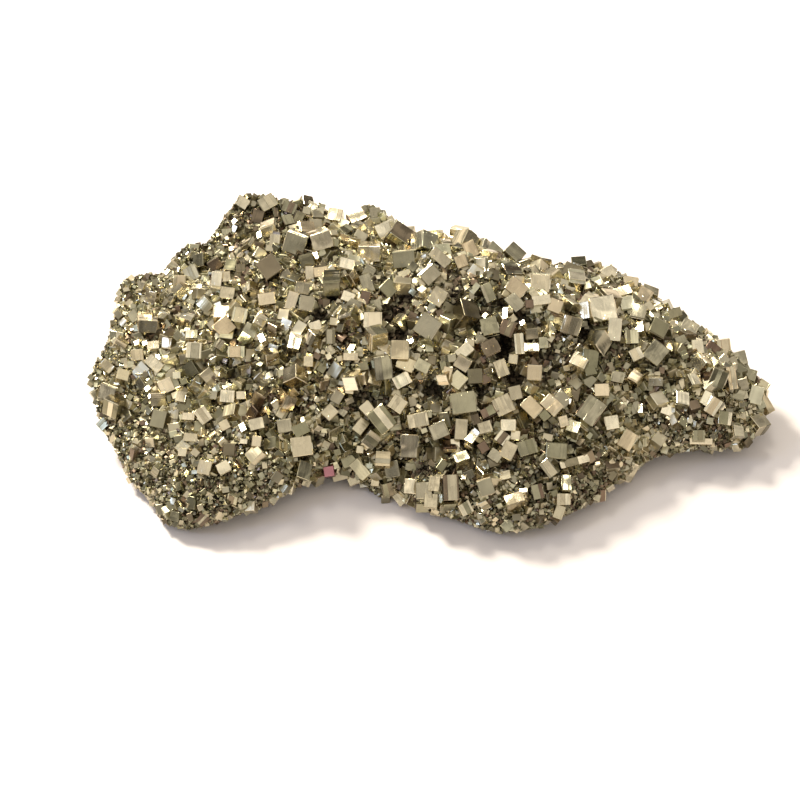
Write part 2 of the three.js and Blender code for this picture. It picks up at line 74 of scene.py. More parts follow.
TO_ORIGIN = np.array([-0.4, -1.45, 0.0])
RIM_INSET = 1.0
FINE_INSET = 0.6
FINE_PLACES = [
    # x, y, and the reach along x and along y
    (-50, 24, 13, 12), (-58, -14, 8, 12), (-50, -26, 14, 11), (48, -17, 16, 7), (-30, -28, 16, 6),
    (-40, 32, 12, 7), (28, -29, 18, 6), (-60, 2, 5, 9), (2, -31, 14, 4),
]
CROWN_BASE = 9.0
CROWN_FALL = 4
LUMPS = [
    # x, y, the reach along x and along y, and the height, which is below 0 for a dip
    (3, 4, 44, 27, 15), (-27, 22, 13, 12, 4.5), (-34, 2, 12, 10, 1.5), (-8, 13, 4, 11, -3),
    (6, 12, 9, 8, 2), (-6, -8, 8, 6, 2), (24, 2, 12, 9, 2), (-1, -21, 9, 2.6, -4),
    (8, -28, 10, 5, 1.5), (53, -5, 8, 8, 3.5), (-42, -23, 10, 7, 2), (-19, -20, 8, 6, -1.5),
    (40, -12, 9, 6, -2), (-50, 8, 8, 9, 1.5),
]
VAULT = 4.2
VAULT_RISE = 7
FEET = [
    # x, y, and the reach along x and along y
    (-41, -23, 10, 9), (11, -24, 11, 9), (47, -8, 11, 9), (-27, 20, 14, 13), (22, 8, 14, 11),
]
FOOT_DEPTH = 8.0
# Height, radians for each millimetre along x and y, and where the wave starts in x and y
CROWN_RIPPLE = (0.7, 0.42, 0.5, 0.9, 1.27)
UNDER_RIPPLE = (0.5, 0.36, 0.4, -0.5, 1.1)
FULL_TURN = 2 * math.pi


def hill(x, y, place):
    return np.exp(-(((x - place[0]) / place[2]) ** 2) - ((y - place[1]) / place[3]) ** 2)


def fineness_at(x, y):
    """1 where only fine crystals grow, falling to 0 around such places."""
    return np.minimum(1, sum(hill(x, y, spot) for spot in FINE_PLACES))


def rim_corners():
    """Direction, distance and height of each corner, in order of direction."""
    away = RIM[:, :2] - MIDDLE
    angle = np.arctan2(away[:, 1], away[:, 0])
    order = np.argsort(angle)
    inset = RIM_INSET + (FINE_INSET - RIM_INSET) * fineness_at(RIM[:, 0], RIM[:, 1])
    radius = np.hypot(away[:, 0], away[:, 1]) - inset
    return angle[order], np.stack([radius, RIM[:, 2]], 1)[order]


RIM_ANGLES, RIM_SIZES = rim_corners()
print("rim corners:", len(RIM_ANGLES), "longest radius in mm:", RIM_SIZES[:, 0].max().round(1))


# %% The heights of the crown and the underside
def rim_at(angle):
    """Distance of the rim from the middle, and its height, in each direction."""
    count = len(RIM_ANGLES)
    after = np.searchsorted(RIM_ANGLES, angle, side="right") % count
    gap = (RIM_ANGLES[after] - RIM_ANGLES[after - 1] + FULL_TURN) % FULL_TURN
    share = ((angle - RIM_ANGLES[after - 1] + FULL_TURN) % FULL_TURN / gap)[..., None]
    before, start, end, beyond = (RIM_SIZES[(after + step) % count] for step in (-2, -1, 0, 1))
    slope_in, slope_out = (end - before) / 2, (beyond - start) / 2
    bend = 3 * (end - start) - 2 * slope_in - slope_out
    twist = 2 * (start - end) + slope_in + slope_out
    found = start + share * (slope_in + share * (bend + share * twist))
    return found[..., 0], found[..., 1]


def ripple(x, y, wave):
    height, along_x, along_y, start_x, start_y = wave
    return height * np.sin(along_x * x + start_x) * np.sin(along_y * y + start_y)


def how_far_out(x, y):
    """0 in the middle and 1 on the rim, with the rim's height there."""
    away_x, away_y = x - MIDDLE[0], y - MIDDLE[1]
    radius, rim_z = rim_at(np.arctan2(away_y, away_x))
    return np.hypot(away_x, away_y) / radius, rim_z


def top_at(x, y):
    out, rim_z = how_far_out(x, y)
    crown = CROWN_BASE + ripple(x, y, CROWN_RIPPLE)
    crown = crown + sum(lump[4] * hill(x, y, lump) for lump in LUMPS)
    return rim_z + (crown - rim_z) * np.sqrt(1 - np.minimum(1, out) ** CROWN_FALL)


def bottom_at(x, y):
    out, rim_z = how_far_out(x, y)
    under = VAULT + ripple(x, y, UNDER_RIPPLE)
    under = under - sum(FOOT_DEPTH * hill(x, y, foot) for foot in FEET)
    rise = np.minimum(1, out) ** VAULT_RISE
    return under * (1 - rise) + rim_z * rise


def place(angle, out, under):
    """Points of the mound, on the crown or, where under is true, on the underside."""
    radius, _ = rim_at(angle)
    x = MIDDLE[0] + out * radius * np.cos(angle)
    y = MIDDLE[1] + out * radius * np.sin(angle)
    return np.stack([x, y, np.where(under, bottom_at(x, y), top_at(x, y))], -1)


middle_top = place(np.array(0.0), 0.0, False)
print("crown over the middle in mm:", middle_top.round(2))

# %% [markdown]
# ## Where the large cubes sit
# The large cubes give the specimen its face, so they are put where they grew: each one is measured
# on a picture plane that looks down on the mound, and is set on the mound where that line of sight
# meets it. A cube is known by the middle, width and height of its main face in millimetres, how far
# the face looks right and up, and its turn.

# %% The measured cubes
VIEW_ELEVATION = 52.0
VIEW_DISTANCE = 420.0
VIEW_AIM = np.array([-5.6, -1.8, 0.0])
SEARCH_REACH = 50.0
SEARCH_STEP = 0.25
SLOPE_STEP = 0.4
STAND_OUT = 0.6
LARGE_CRYSTALS = np.array([
    # across, up, width, height, and the degrees to the right, up and of turn
    (-54.1, 1.3, 3.1, 2.7, -25, 40, 0), (-54.1, 6.3, 2.5, 1.7, -25, 55, -20),
    (-53.5, -1.7, 3.1, 3, -30, 22, 0), (-52.4, 11.9, 2.7, 1.5, -20, 40, 5),
    (-48.5, 8.3, 2.2, 2, 0, 52, 5), (-46.5, 13.5, 3.4, 2.5, 10, 25, -12),
    (-45.6, 10.2, 2.2, 1.7, -10, 84, 15), (-45.4, 6.7, 3.2, 2, -8, 55, -35),
    (-44.6, -3.5, 2.6, 3.1, -5, 52, -10), (-40.7, 21.7, 2.4, 2.6, 0, 46, -5),
    (-39.1, -3, 2.2, 1.3, 0, 66, -5), (-38.7, -6.9, 2.4, 1.5, 0, 60, -5),
    (-38.5, 12.2, 2.2, 1.8, 0, 85, 0), (-38, 9.1, 2.8, 2.8, -5, 50, 0),
    (-36.3, -2.8, 2.2, 2.8, 5, 52, 31), (-36.1, -12.4, 2.3, 2.4, -15, 60, 0),
    (-36.1, 17.6, 2.7, 2.2, -25, 48, -25), (-33.9, 22, 2, 3.3, -10, 50, 0),
    (-33, 16.3, 2.8, 2.6, 0, 85, 0), (-32.6, -12.4, 2.2, 1.9, 10, 62, 20),
    (-32.4, 13.5, 3.3, 3.1, 8, 52, 35), (-31.9, 0.7, 2.6, 2.2, 0, 50, -5),
    (-31.9, 19.8, 2.6, 2.2, -10, 60, 0), (-30.2, 8.9, 3, 2, 0, 48, 0),
    (-29.6, 15.7, 2.6, 2.8, 0, 62, -12), (-29.1, 36.5, 2.4, 2, -15, 50, -20),
    (-26.5, -4.4, 2.6, 2, 2, 55, 12), (-26.3, 33.9, 2.3, 2.4, -20, 50, 0),
    (-24.6, 18.7, 3.1, 2.2, 0, 60, 8), (-24.4, 36.5, 3.2, 2.7, 20, 66, 15),
    (-24.1, 24.6, 3.7, 3.8, -8, 62, 42), (-23.1, 29.3, 2, 2.6, -10, 50, 0),
    (-21.3, -4.8, 2.6, 2.2, 0, 48, 10), (-20.4, -0.6, 2.3, 2.5, 20, 25, -35),
    (-20.4, 35.6, 2.7, 2.2, -25, 60, 0), (-20, 18.3, 1.9, 3.3, -12, 52, -8),
    (-19.4, 10.9, 2.2, 3.1, 5, 80, -18), (-19.4, 28.7, 4.1, 3.8, -15, 40, -8),
    (-18.3, -5.4, 2.8, 2.2, -10, 60, 35), (-18.1, -8.5, 3.7, 3.4, 3, 58, 6),
    (-18, 20.6, 2.6, 2.1, 12, 40, -18), (-17.2, 17.8, 2.6, 2.6, 15, 48, -22),
    (-16.7, 23.5, 1.5, 2.4, 10, 50, -5), (-16.3, 35.7, 2.2, 2, 10, 75, -35),
    (-15.6, 13.5, 2.2, 2, -5, 55, 22), (-15.6, 32, 2.4, 2.8, 10, 48, -10),
    (-14.6, 23.7, 2.6, 1.9, 5, 70, 3), (-14.4, 29.3, 3.8, 3.2, 15, 38, 5),
    (-13, -2.2, 2.4, 2.1, 0, 64, 45), (-12.8, 11.7, 1.7, 2.6, 10, 52, -8),
    (-12.6, 20.4, 3.1, 2.8, 0, 22, 2), (-11.9, -15, 2.8, 1.5, -10, 45, 22),
    (-9.8, 25.2, 2.6, 1.9, 15, 55, -25), (-9.6, 19.1, 2.2, 1.9, 10, 70, -30),
    (-9.1, 8, 2.6, 1.3, 0, 60, -2), (-8.7, -14.8, 2.2, 1.7, 0, 62, 22),
    (-8.1, 34.3, 3.2, 2.8, -8, 84, 38), (-7.4, -12.8, 2, 3.7, 5, 52, 37),
    (-7.2, -4.8, 2.8, 1.9, 15, 66, 40), (-6.5, 18.9, 1.7, 2.4, -25, 60, 5),
    (-6.1, -1.5, 2, 2.2, 0, 60, 40), (-6.1, 21.5, 2.1, 3.3, -12, 50, 28),
    (-5.7, 26.9, 4.1, 2.9, 0, 36, 0), (-5.2, -7.4, 2.8, 2.8, 20, 30, 38),
    (-5, 14.8, 3.3, 2.8, 0, 60, 0), (-4.6, 34.4, 2.1, 2.2, 20, 48, -10),
    (-3.3, -3.5, 3.5, 4.4, 3, 52, 36), (-3, 5.9, 3.3, 4.2, 25, 40, -10),
    (-2.4, 31.3, 3.9, 3.2, 12, 50, 15), (-2, -16.5, 2.6, 2.7, 15, 25, 5),
    (-2, 20.6, 2.7, 2.8, 25, 55, 25), (-0.4, -0.7, 2.8, 2.6, 10, 58, -42),
    (0, -18.5, 1.9, 2.4, 10, 48, 30), (0, 9.3, 3.2, 3.3, 8, 56, -8), (0.4, 3.7, 3, 2.2, 0, 58, 28),
    (0.7, 25.9, 4.2, 3, -18, 44, 18), (1.1, 6.7, 3.2, 2.3, 10, 64, -30),
    (1.7, -8.5, 3, 4.3, 0, 34, -3), (2, -15.9, 2.4, 2.6, 0, 48, -5),
    (3.3, -3.7, 3.7, 2.4, -10, 50, 18), (4.1, 6.3, 2.6, 2, -5, 48, -25),
    (5, 13.5, 3.9, 3.9, -15, 50, -22), (5.6, 23.1, 3.3, 2.6, 8, 50, 36),
    (5.7, -18.5, 2.4, 2.4, 0, 62, -4), (6.3, -15.4, 1.9, 2.6, -5, 60, -3),
    (7, 19.1, 2.6, 3.2, 10, 60, -40), (7.2, -5.6, 3.1, 2.8, -3, 48, 26),
    (7.4, 26.3, 3.9, 2, 0, 50, -41), (9.4, -16.1, 2.8, 4.5, 8, 56, -4),
    (10.4, 30.2, 2.9, 2.6, -28, 28, 10), (11.3, -10.4, 2.6, 1.8, 0, 85, 24),
    (11.3, -5.4, 2.2, 3.7, 8, 46, -10), (11.3, 25.6, 2.1, 2.2, -12, 50, 30),
    (11.5, 6.7, 2.7, 2.3, -20, 40, -15), (11.7, -0.4, 4.4, 3.8, 0, 66, 8),
    (11.9, 9.1, 3, 2, -5, 56, 46), (12.2, -20, 2.2, 2.2, 10, 50, 20), (13, 27.8, 2.4, 3, 0, 54, 24),
    (13.1, 30.4, 2.3, 1.7, 15, 50, 10), (13.5, -6.5, 1.7, 3.1, -25, 84, -10),
    (13.9, 4.4, 2.7, 2.6, 20, 50, -12), (15, 25, 2.6, 2.3, 0, 42, 0),
    (15.7, -5, 2.4, 2, -10, 48, 25), (15.9, -16.1, 2.6, 2.8, 5, 50, 14),
    (16.3, 19.8, 2, 3.3, 0, 52, 22), (16.5, -2, 3, 1.7, -15, 68, 40),
    (16.5, 13.7, 3, 3.2, -12, 62, 25), (16.7, 9.8, 3, 2.6, 18, 62, 10),
    (17.6, -10.2, 2.2, 1.9, 0, 62, -36), (18.7, 5.9, 2.2, 3, 0, 56, 20),
    (18.9, -7, 2.2, 2.2, -10, 50, -30), (19.1, -0.9, 3.3, 3.2, 8, 58, 20),
    (19.8, 13.3, 2.6, 2.8, 15, 60, -35), (20, -9.3, 2.5, 3, -20, 55, -10),
    (20, -4.6, 2.6, 2.1, 0, 66, 0), (21.1, -18.1, 3.3, 2, 0, 84, 20),
    (21.3, 1.3, 2.2, 2.4, 8, 48, 6), (21.5, 20.7, 3.5, 2.8, 5, 52, -42),
    (22, 10.4, 1.7, 3.7, -18, 58, 20), (23.5, -8.7, 3.4, 2.6, 20, 60, 0),
    (24.3, -1.3, 3.3, 2.6, 0, 56, -45), (24.3, 9.8, 2.6, 1.8, 5, 85, -5),
    (24.4, 12.2, 2.3, 2, 20, 30, -10), (24.8, 5, 2.6, 2.6, 3, 48, -6),
    (25.4, -16.9, 2, 2.6, 10, 55, 5), (25.9, 21.5, 3.4, 3.2, -10, 46, 4),
    (26.1, 18.5, 3.3, 1.7, 5, 62, 4), (27.4, -12.6, 1.9, 3.2, 10, 50, 30),
    (28, -0.9, 3.5, 2.6, 0, 56, -43), (28.7, 17.4, 2.4, 2.4, 12, 56, -30),
    (28.9, -9.3, 3.8, 2.6, 20, 55, -20), (29.4, -20.7, 1.7, 2.4, 0, 50, -20),
    (30.2, -18.3, 2.4, 2, 0, 52, 0), (30.7, -15.2, 1.7, 3.1, 5, 85, -5),
    (31.9, 23.7, 3.8, 2.6, -15, 58, -14), (32, -4.8, 2.2, 2.4, 0, 85, -20),
    (32.2, -11.3, 5.2, 1.4, 0, 70, 15), (33, 7.2, 3, 2.1, -8, 78, -20),
    (34.4, 18.3, 1.9, 3.3, -15, 56, -30), (35.2, -1.9, 3.7, 4.6, 3, 54, -38),
    (37.4, 16.9, 4.5, 4.5, 10, 60, 2), (38.5, 23.5, 2.6, 2.4, 12, 50, 22),
    (39.1, -4.1, 2.4, 2.4, 5, 60, 6), (39.6, 13, 2.4, 4.1, 12, 50, -14),
    (40.2, 4.3, 2.2, 1.9, 5, 58, -14), (41.1, 20.2, 3.3, 2, 0, 86, 20),
    (41.9, 18, 2.6, 2.7, -6, 80, 15), (42, -7.4, 2.6, 3.3, 0, 50, -32),
    (42.6, 22, 2.8, 1.7, 15, 60, -20), (42.8, 11.7, 2.4, 2.6, 8, 60, -4),
    (44.1, 16.5, 2.6, 2.9, 0, 85, -14), (45.2, 19.4, 2.6, 2.6, 15, 48, -42),
    (47.2, 3.3, 2.6, 1.5, 0, 35, 0), (47.2, 8.7, 3.5, 3.7, 5, 44, -42),
    (50.2, 15.9, 3.7, 1.7, 5, 62, 15), (53.3, 13.3, 3, 2.8, -5, 56, -25),
    (55, 9.8, 2, 2.6, -8, 50, 15), (55.2, -6.5, 2.2, 1.9, 0, 62, 0),
    (57.8, -1.1, 2.2, 3.1, 0, 52, -32), (58.7, 3.9, 2.8, 3.3, -15, 35, -10),
    (59.8, 9.6, 2.6, 3.2, 14, 48, -3), (60, -3.3, 2.4, 2.4, 15, 60, -20),
    (61.3, 4.1, 1.7, 4.1, 25, 55, -12), (64.4, 4.8, 2.8, 2.1, 10, 60, -25),
    (65.7, 0.9, 2.4, 3.3, -12, 48, -4), (67.6, -0.2, 1.4, 4.5, 35, 60, 0),
])
print("measured cubes:", len(LARGE_CRYSTALS))


# %% From a line of sight to a place on the mound
def facing_from(right, up):
    """The direction that faces right and up from the viewer's side."""
    azimuth, elevation = np.radians(right - 90), np.radians(up)
    flat = np.cos(elevation)
    return np.stack([flat * np.cos(azimuth), flat * np.sin(azimuth), np.sin(elevation)], -1)


def seen_at(across, up):
    """Where the viewer's lines through these points of the picture plane first meet the mound. A
    line that passes beside the mound ends on it, next to where it comes closest."""
    eye = facing_from(0, VIEW_ELEVATION) * VIEW_DISTANCE + VIEW_AIM
    overhead = facing_from(180, 90 - VIEW_ELEVATION)
    target = VIEW_AIM + up[:, None] * overhead
    target[:, 0] += across
    ray = target - eye
    ray /= np.linalg.norm(ray, axis=1, keepdims=True)
    steps = np.arange(VIEW_DISTANCE - SEARCH_REACH, VIEW_DISTANCE + SEARCH_REACH, SEARCH_STEP)
    spots = eye + ray[:, None, :] * steps[None, :, None]
    x, y, z = spots[..., 0], spots[..., 1], spots[..., 2]
    out, _ = how_far_out(x, y)
    inward = np.maximum(0, 1 - 1 / out)
    beyond = inward * np.hypot(x - MIDDLE[0], y - MIDDLE[1])
    miss = np.maximum(z - top_at(x, y), bottom_at(x, y) - z) + beyond
    first = np.where((miss < 0).any(1), (miss < 0).argmax(1), miss.argmin(1))
    rows = np.arange(len(spots))
    spot = spots[rows, first]
    spot[:, :2] += (MIDDLE - spot[:, :2]) * inward[rows, first][:, None]
    return spot


def axes_from(facing, turn):
    """Each crystal's three edge directions, as the columns of a matrix."""
    side = np.cross((0.0, 0.0, 1.0), facing)
    side /= np.linalg.norm(side, axis=1, keepdims=True)
    over = np.cross(facing, side)
    cosine, sine = np.cos(turn)[:, None], np.sin(turn)[:, None]
    return np.stack([cosine * side + sine * over, cosine * over - sine * side, facing], 2)


def measured_cubes(across, up, width, height, facing, turn):
    """Centre, size and axes of each cube of a list, standing a little out of the mound."""
    depth = np.sqrt(width * height)
    centre = seen_at(across, up) + facing_from(0, VIEW_ELEVATION) * (STAND_OUT * depth)[:, None]
    centre -= facing * depth[:, None] / 2
    return centre, np.stack([width, height, depth], 1), axes_from(facing, np.radians(turn))


across, up, width, height, right, lift, turn = LARGE_CRYSTALS.T
large = measured_cubes(across, up, width, height, facing_from(right, lift), turn)
print("largest edge in mm:", large[1].max())

# %% [markdown]
# Many smaller crystals can be told apart too. Some flash white or bluish, because they are turned
# so that they mirror the lamp or the window. Painting them white would go wrong in every other
# view, so they are turned halfway between the viewer and the light instead, and do it by
# themselves.

# %% Where the lights are, and the small crystals
# Degrees to the right of the viewer's side, and up
KEY_LAMP = (-134.0, 43.0)
WINDOW = (-75.0, 38.0)
CEILING_LAMP = (180.0, 62.0)
PLAIN_FACING = (-8.0, 62.0)
SMALL_CRYSTALS = np.array([
    # across, up, width, height, turn, and what it mirrors: 0 nothing, 1 the lamp, 2 the window
    (-48.7, 10.6, 1.1, 1.1, 0, 1), (-47.2, 10.6, 1.1, 1.1, 10, 1), (-46.7, 2.2, 1.1, 1.1, 20, 1),
    (-46.3, 0.9, 1.3, 0.6, 0, 1), (-41.3, 4.6, 1.5, 1.3, 10, 0), (-40.2, -9.6, 1.5, 1.5, 0, 0),
    (-40, 3.5, 1.3, 1.3, 30, 0), (-34.6, 0.9, 1.5, 1.5, 0, 0), (-32.4, -4.6, 1.7, 1.7, 35, 0),
    (-32.2, 22.8, 1.9, 2, 15, 0), (-29.4, 0.9, 1.7, 1.5, 10, 0), (-29.4, 24.4, 1.7, 1.7, 10, 0),
    (-29.1, -5, 1.9, 1.1, 10, 1), (-28.9, -7.6, 1.3, 0.9, 0, 0), (-26.7, 31.7, 0.9, 0.9, 20, 0),
    (-26.5, -7.6, 1.7, 1.9, 0, 0), (-26.1, 30.6, 1.5, 0.9, 0, 1), (-25.6, 11.5, 1.9, 1.1, 10, 1),
    (-24.1, 28.1, 1.5, 1.3, 0, 0), (-18, -3.7, 1.5, 0.7, 0, 1), (-16.9, 5.6, 1.7, 0.6, 5, 1),
    (-16.9, 7.2, 1.7, 1.9, 5, 0), (-15.6, 26.7, 1.7, 0.9, 0, 1), (-12, 29.1, 1.5, 1.5, 0, 0),
    (-9.3, 2, 1.5, 1.5, 0, 0), (-7.4, -9.1, 1.3, 1.3, 0, 0), (-6.7, 6.3, 1.5, 1.5, 20, 0),
    (-6.3, 10.9, 1.5, 1.5, 0, 0), (-5.6, -9.6, 0.9, 1.1, 20, 1), (-4.6, -15.2, 1.5, 1.3, 0, 0),
    (-3.7, 8.5, 1.5, 1.3, 0, 0), (1.9, 10.9, 0.9, 1.1, 0, 1), (2.2, 29.6, 1.7, 0.9, 0, 1),
    (5.9, 7.4, 1.5, 1.5, 0, 0), (8.7, 5, 1.7, 2.2, -10, 0), (9.6, 7.8, 1.5, 1.5, 15, 0),
    (10.2, -8, 1.7, 1.7, 10, 0), (13, 10.6, 1.5, 1.3, 0, 0), (15.4, -8.7, 1.7, 1.9, 40, 0),
    (15.7, 15.7, 0.9, 1.1, 30, 1), (19.4, 16.1, 2.2, 0.9, -20, 1), (20.9, 7.6, 1.7, 1.7, 0, 0),
    (21.3, -6.5, 1.7, 1.7, 0, 0), (22.6, 14.3, 0.9, 0.9, 10, 1), (22.8, -16.7, 0.9, 1.5, -10, 1),
    (23.9, 17.8, 1.5, 1.5, 10, 0), (26.7, -2.8, 1.7, 1.7, -43, 0), (30.2, -3.9, 1.7, 2, 20, 0),
    (35.6, 2.2, 1.7, 0.6, 20, 1), (36.7, 1.1, 1.3, 0.6, 20, 1), (36.7, 21.7, 1.3, 1.3, 0, 1),
    (38.5, -15.6, 1.3, 1.5, 15, 1), (44.4, -1.5, 1.9, 0.9, -15, 1), (46.7, 0.4, 1.9, 0.7, 10, 1),
    (48.7, -0.4, 1.5, 0.9, 0, 1), (55.6, -7.6, 4.1, 1.1, 5, 0), (56.5, 0.4, 1.5, 2.6, -20, 0),
    (-53.5, -1.7, 2.4, 0.6, 0, 2), (-51.3, 14.4, 1.1, 1.5, -10, 2), (-38, 10.2, 0.9, 1.3, 0, 2),
    (-30.7, 31.7, 1.1, 1.3, 10, 2), (-24.8, 36.3, 0.9, 1.5, -10, 2), (13.5, -6.5, 1.5, 2.4, -8, 2),
    (31.1, -0.2, 1.1, 1.1, 20, 2),
])
ROSE_CRYSTAL = np.array([(-13.1, -13.1, 1.9, 1.8, 15, 0)])
ROSE_LIFT = 1.2


def mirror_facing(azimuth, elevation):
    """The direction of a face that shows the viewer a light in that direction."""
    halfway = facing_from(0, VIEW_ELEVATION) + facing_from(azimuth, elevation)
    return halfway / np.linalg.norm(halfway)


def small_measured(rows):
    across, up, width, height, turn, mirrored = rows.T
    facings = np.array([
        facing_from(*PLAIN_FACING), mirror_facing(*KEY_LAMP), mirror_facing(*WINDOW)])
    return measured_cubes(across, up, width, height, facings[mirrored.astype(int)], turn)


single = small_measured(SMALL_CRYSTALS)
rose = small_measured(ROSE_CRYSTAL)
rose[0][:] += facing_from(0, VIEW_ELEVATION) * ROSE_LIFT
print("small measured crystals:", len(single[0]) + len(rose[0]))

# %% [markdown]
# ## The solid model's other cubes
# Between the measured cubes the solid model has more at random places, so that it is covered from
# every side. They are drawn here from the same stream of numbers, so each one is in the same place.

# %% The same stream of numbers
SEED = 20261
SCATTER_COUNT = 109
SCATTER_TRIES = 20000
DRAWS_EACH = 11
SPACING = 0.62
FARTHEST_RIM = 64.0
UNDER_SHARE = 0.25
UNDER_FROM = 0.8
LEAST_EDGE = 1.9
EDGE_SPREAD = 0.5
COARSE_SPREAD = 1.9
EDGE_RATIO = (0.85, 1.15)
RAISED = (0.05, 0.3)
COARSE_X = 14.0
COARSE_REACH = 40.0
FRONT_Y = -24.0
FRONT_SHARE = 0.6
STREAM_FACTOR = 1664525
STREAM_STEP = 1013904223
STREAM_SIZE = 2 ** 32


def stream_of_numbers(seed, count):
    """Numbers from 0 to 1 that are the same in every program that counts like this."""
    numbers = np.empty(count)
    for i in range(count):
        seed = (seed * STREAM_FACTOR + STREAM_STEP) % STREAM_SIZE
        numbers[i] = seed / STREAM_SIZE
    return numbers


print("first numbers:", stream_of_numbers(SEED, 3).round(3))


# %% The scattered cubes
def between(limits, share):
    return limits[0] + (limits[1] - limits[0]) * share


def outward_at(x, y, under):
    """The direction straight out of the mound."""
    height = [
        np.where(under, bottom_at(x + dx, y + dy), top_at(x + dx, y + dy))
        for dx, dy in ((SLOPE_STEP, 0), (-SLOPE_STEP, 0), (0, SLOPE_STEP), (0, -SLOPE_STEP))
    ]
    upward = np.where(under, -1.0, 1.0)
    slope_x = (height[0] - height[1]) / (2 * SLOPE_STEP)
    slope_y = (height[2] - height[3]) / (2 * SLOPE_STEP)
    normal = np.stack([-slope_x * upward, -slope_y * upward, upward], -1)
    return normal / np.linalg.norm(normal, axis=-1, keepdims=True)


def scattered_cubes(taken):
    draw = stream_of_numbers(SEED, SCATTER_TRIES * DRAWS_EACH).reshape(-1, DRAWS_EACH).T
    angle = (2 * draw[0] - 1) * math.pi
    out = np.sqrt(draw[1])
    under = draw[2] < UNDER_SHARE
    spot = place(angle, np.where(under, UNDER_FROM + (1 - UNDER_FROM) * out, out), under)
    x, y = spot[:, 0], spot[:, 1]
    wanted = draw[3] < (rim_at(angle)[0] / FARTHEST_RIM) ** 2 * (1 - fineness_at(x, y))
    coarse = np.exp(-(((x - COARSE_X) / COARSE_REACH) ** 2))
    coarse = coarse * np.where(y > FRONT_Y, 1, FRONT_SHARE)
    edge = LEAST_EDGE + (COARSE_SPREAD * coarse + EDGE_SPREAD) * draw[4]
    size = edge[:, None] * np.stack(
        [np.ones_like(edge), between(EDGE_RATIO, draw[5]), between(EDGE_RATIO, draw[6])], 1)
    facing = facing_from(360 * draw[7], np.degrees(np.arcsin(2 * draw[8] - 1)))
    centre = spot + outward_at(x, y, under) * (edge * between(RAISED, draw[10]))[:, None]
    chosen = []
    centres, edges = list(taken[0]), list(taken[1][:, 0])
    for i in np.flatnonzero(wanted):
        apart = np.linalg.norm(np.array(centres) - centre[i], axis=1)
        if (apart >= SPACING * (np.array(edges) + edge[i])).all():
            chosen.append(i)
            centres.append(centre[i])
            edges.append(edge[i])
        if len(chosen) == SCATTER_COUNT:
            break
    return centre[chosen], size[chosen], axes_from(facing[chosen], FULL_TURN * draw[9][chosen])


scattered = scattered_cubes(large)
print("scattered cubes:", len(scattered[0]))

# %% [markdown]
# ## Hollows
# Crystals didn't grow everywhere at the same pace. Where they lagged, a hollow is left between the
# cubes, and it looks nearly black because light has to bounce many times to come out. The deepest
# are placed like the cubes, by where they show; between them a smooth noise gives the crust more.

# %% Where the crust is deep
HOLLOWS = np.array([
    # across, up and depth
    (-0.6, 13, 4), (19.1, 10, 3.2), (-1.3, 16.1, 3.2), (21.5, 4.4, 3), (3.7, -12.9, 2.8),
    (11.5, 17.8, 3), (27.4, -5.2, 2.1), (34.8, 12.8, 2.8), (-15, 16.1, 2.8), (-12.6, 20, 2.6),
    (10, 20.6, 2.6), (18.9, 18.5, 2.6), (22.6, 16.1, 2.4), (-31.5, 5.2, 2.4), (0.6, 19.4, 2.6),
    (6.1, 1.9, 2.4), (24.4, 14.3, 2.4), (-0.4, -11.5, 1.8), (15, 1.9, 2.2), (-10.7, 10.2, 1.8),
    (9.3, -13, 2.4), (11.9, 15.7, 2.2), (13, -11.7, 2.4), (32.8, -17.8, 2.2), (-20.9, 8.9, 2.2),
    (-26.7, 0, 2.2), (27, 8.7, 2.2), (-5.2, -7.6, 2), (20.6, -12, 2), (44.4, 6.7, 2), (-43.5, 2, 2),
    (17.2, -13, 2), (50.6, 3.3, 2), (-27.6, 21.1, 2.2), (-13.3, 26.7, 2), (32, -8.5, 2),
    (1.9, 23.3, 2.2), (3, 2.8, 1.8), (18.5, 21.9, 1.8), (-22.4, 17.2, 1.8), (-15.4, -7.4, 1.8),
    (-4.4, 24.1, 2), (9.3, 27.8, 1.8), (-19.8, -11.9, 1.8), (-24.8, 6.1, 1.8), (-11.3, -12.6, 1.8),
    (36.1, -15, 1.8), (-36.3, -9.8, 1.8), (-24.3, -4.1, 1.6), (61.5, -0.7, 1.4), (-37.2, 4.8, 1.6),
    (31.3, 15.4, 1.6), (-34.3, -13.7, 1.6), (12.4, 24.1, 1.6), (40.9, 10.2, 1.6), (-5.9, 4.3, 1.6),
    (10.4, 23.5, 2.2), (20.5, 24, 2), (5.6, -12.9, 2.4), (-7, 13, 2), (-2.5, 22.5, 2.2),
    (25.5, 8.5, 1.6), (-26.5, 34, 1.6), (-21.5, 34.5, 1.6), (-28.5, 37, 1.4), (34, -16.5, 2),
    (11.5, 11.5, 1.8), (-25.5, -13.5, 1.4), (-40.7, -16.7, 1.4), (49, 2.8, 1.8), (58, -1.5, 1.6),
])
HOLLOW_REACH = (1.2, 0.55)
UNEVEN_SIZE = 6.0
UNEVEN_DEPTH = 0.8
UNEVEN_GAIN = 2
UNEVEN_LIFT = 0.2
CRUST_DEPTH = 0.6
DEPTH_FALL = 8
hollow_spots = seen_at(HOLLOWS[:, 0], HOLLOWS[:, 1])


def depth_at(points):
    """How deep the crust lies under these points of the mound, nothing on the rim."""
    gap = ((points[:, None, :] - hollow_spots[None]) ** 2).sum(-1)
    reach = HOLLOW_REACH[0] + HOLLOW_REACH[1] * HOLLOWS[:, 2]
    deep = (HOLLOWS[:, 2] * np.exp(-gap / reach ** 2)).max(1)
    uneven = np.array([noise.noise(Vector(p) / UNEVEN_SIZE) for p in points])
    uneven = np.clip(uneven * UNEVEN_GAIN + UNEVEN_LIFT, 0, 1)
    deep = np.maximum(deep, CRUST_DEPTH + UNEVEN_DEPTH * uneven)
    out, _ = how_far_out(points[:, 0], points[:, 1])
    return deep * (1 - np.minimum(1, out) ** DEPTH_FALL)


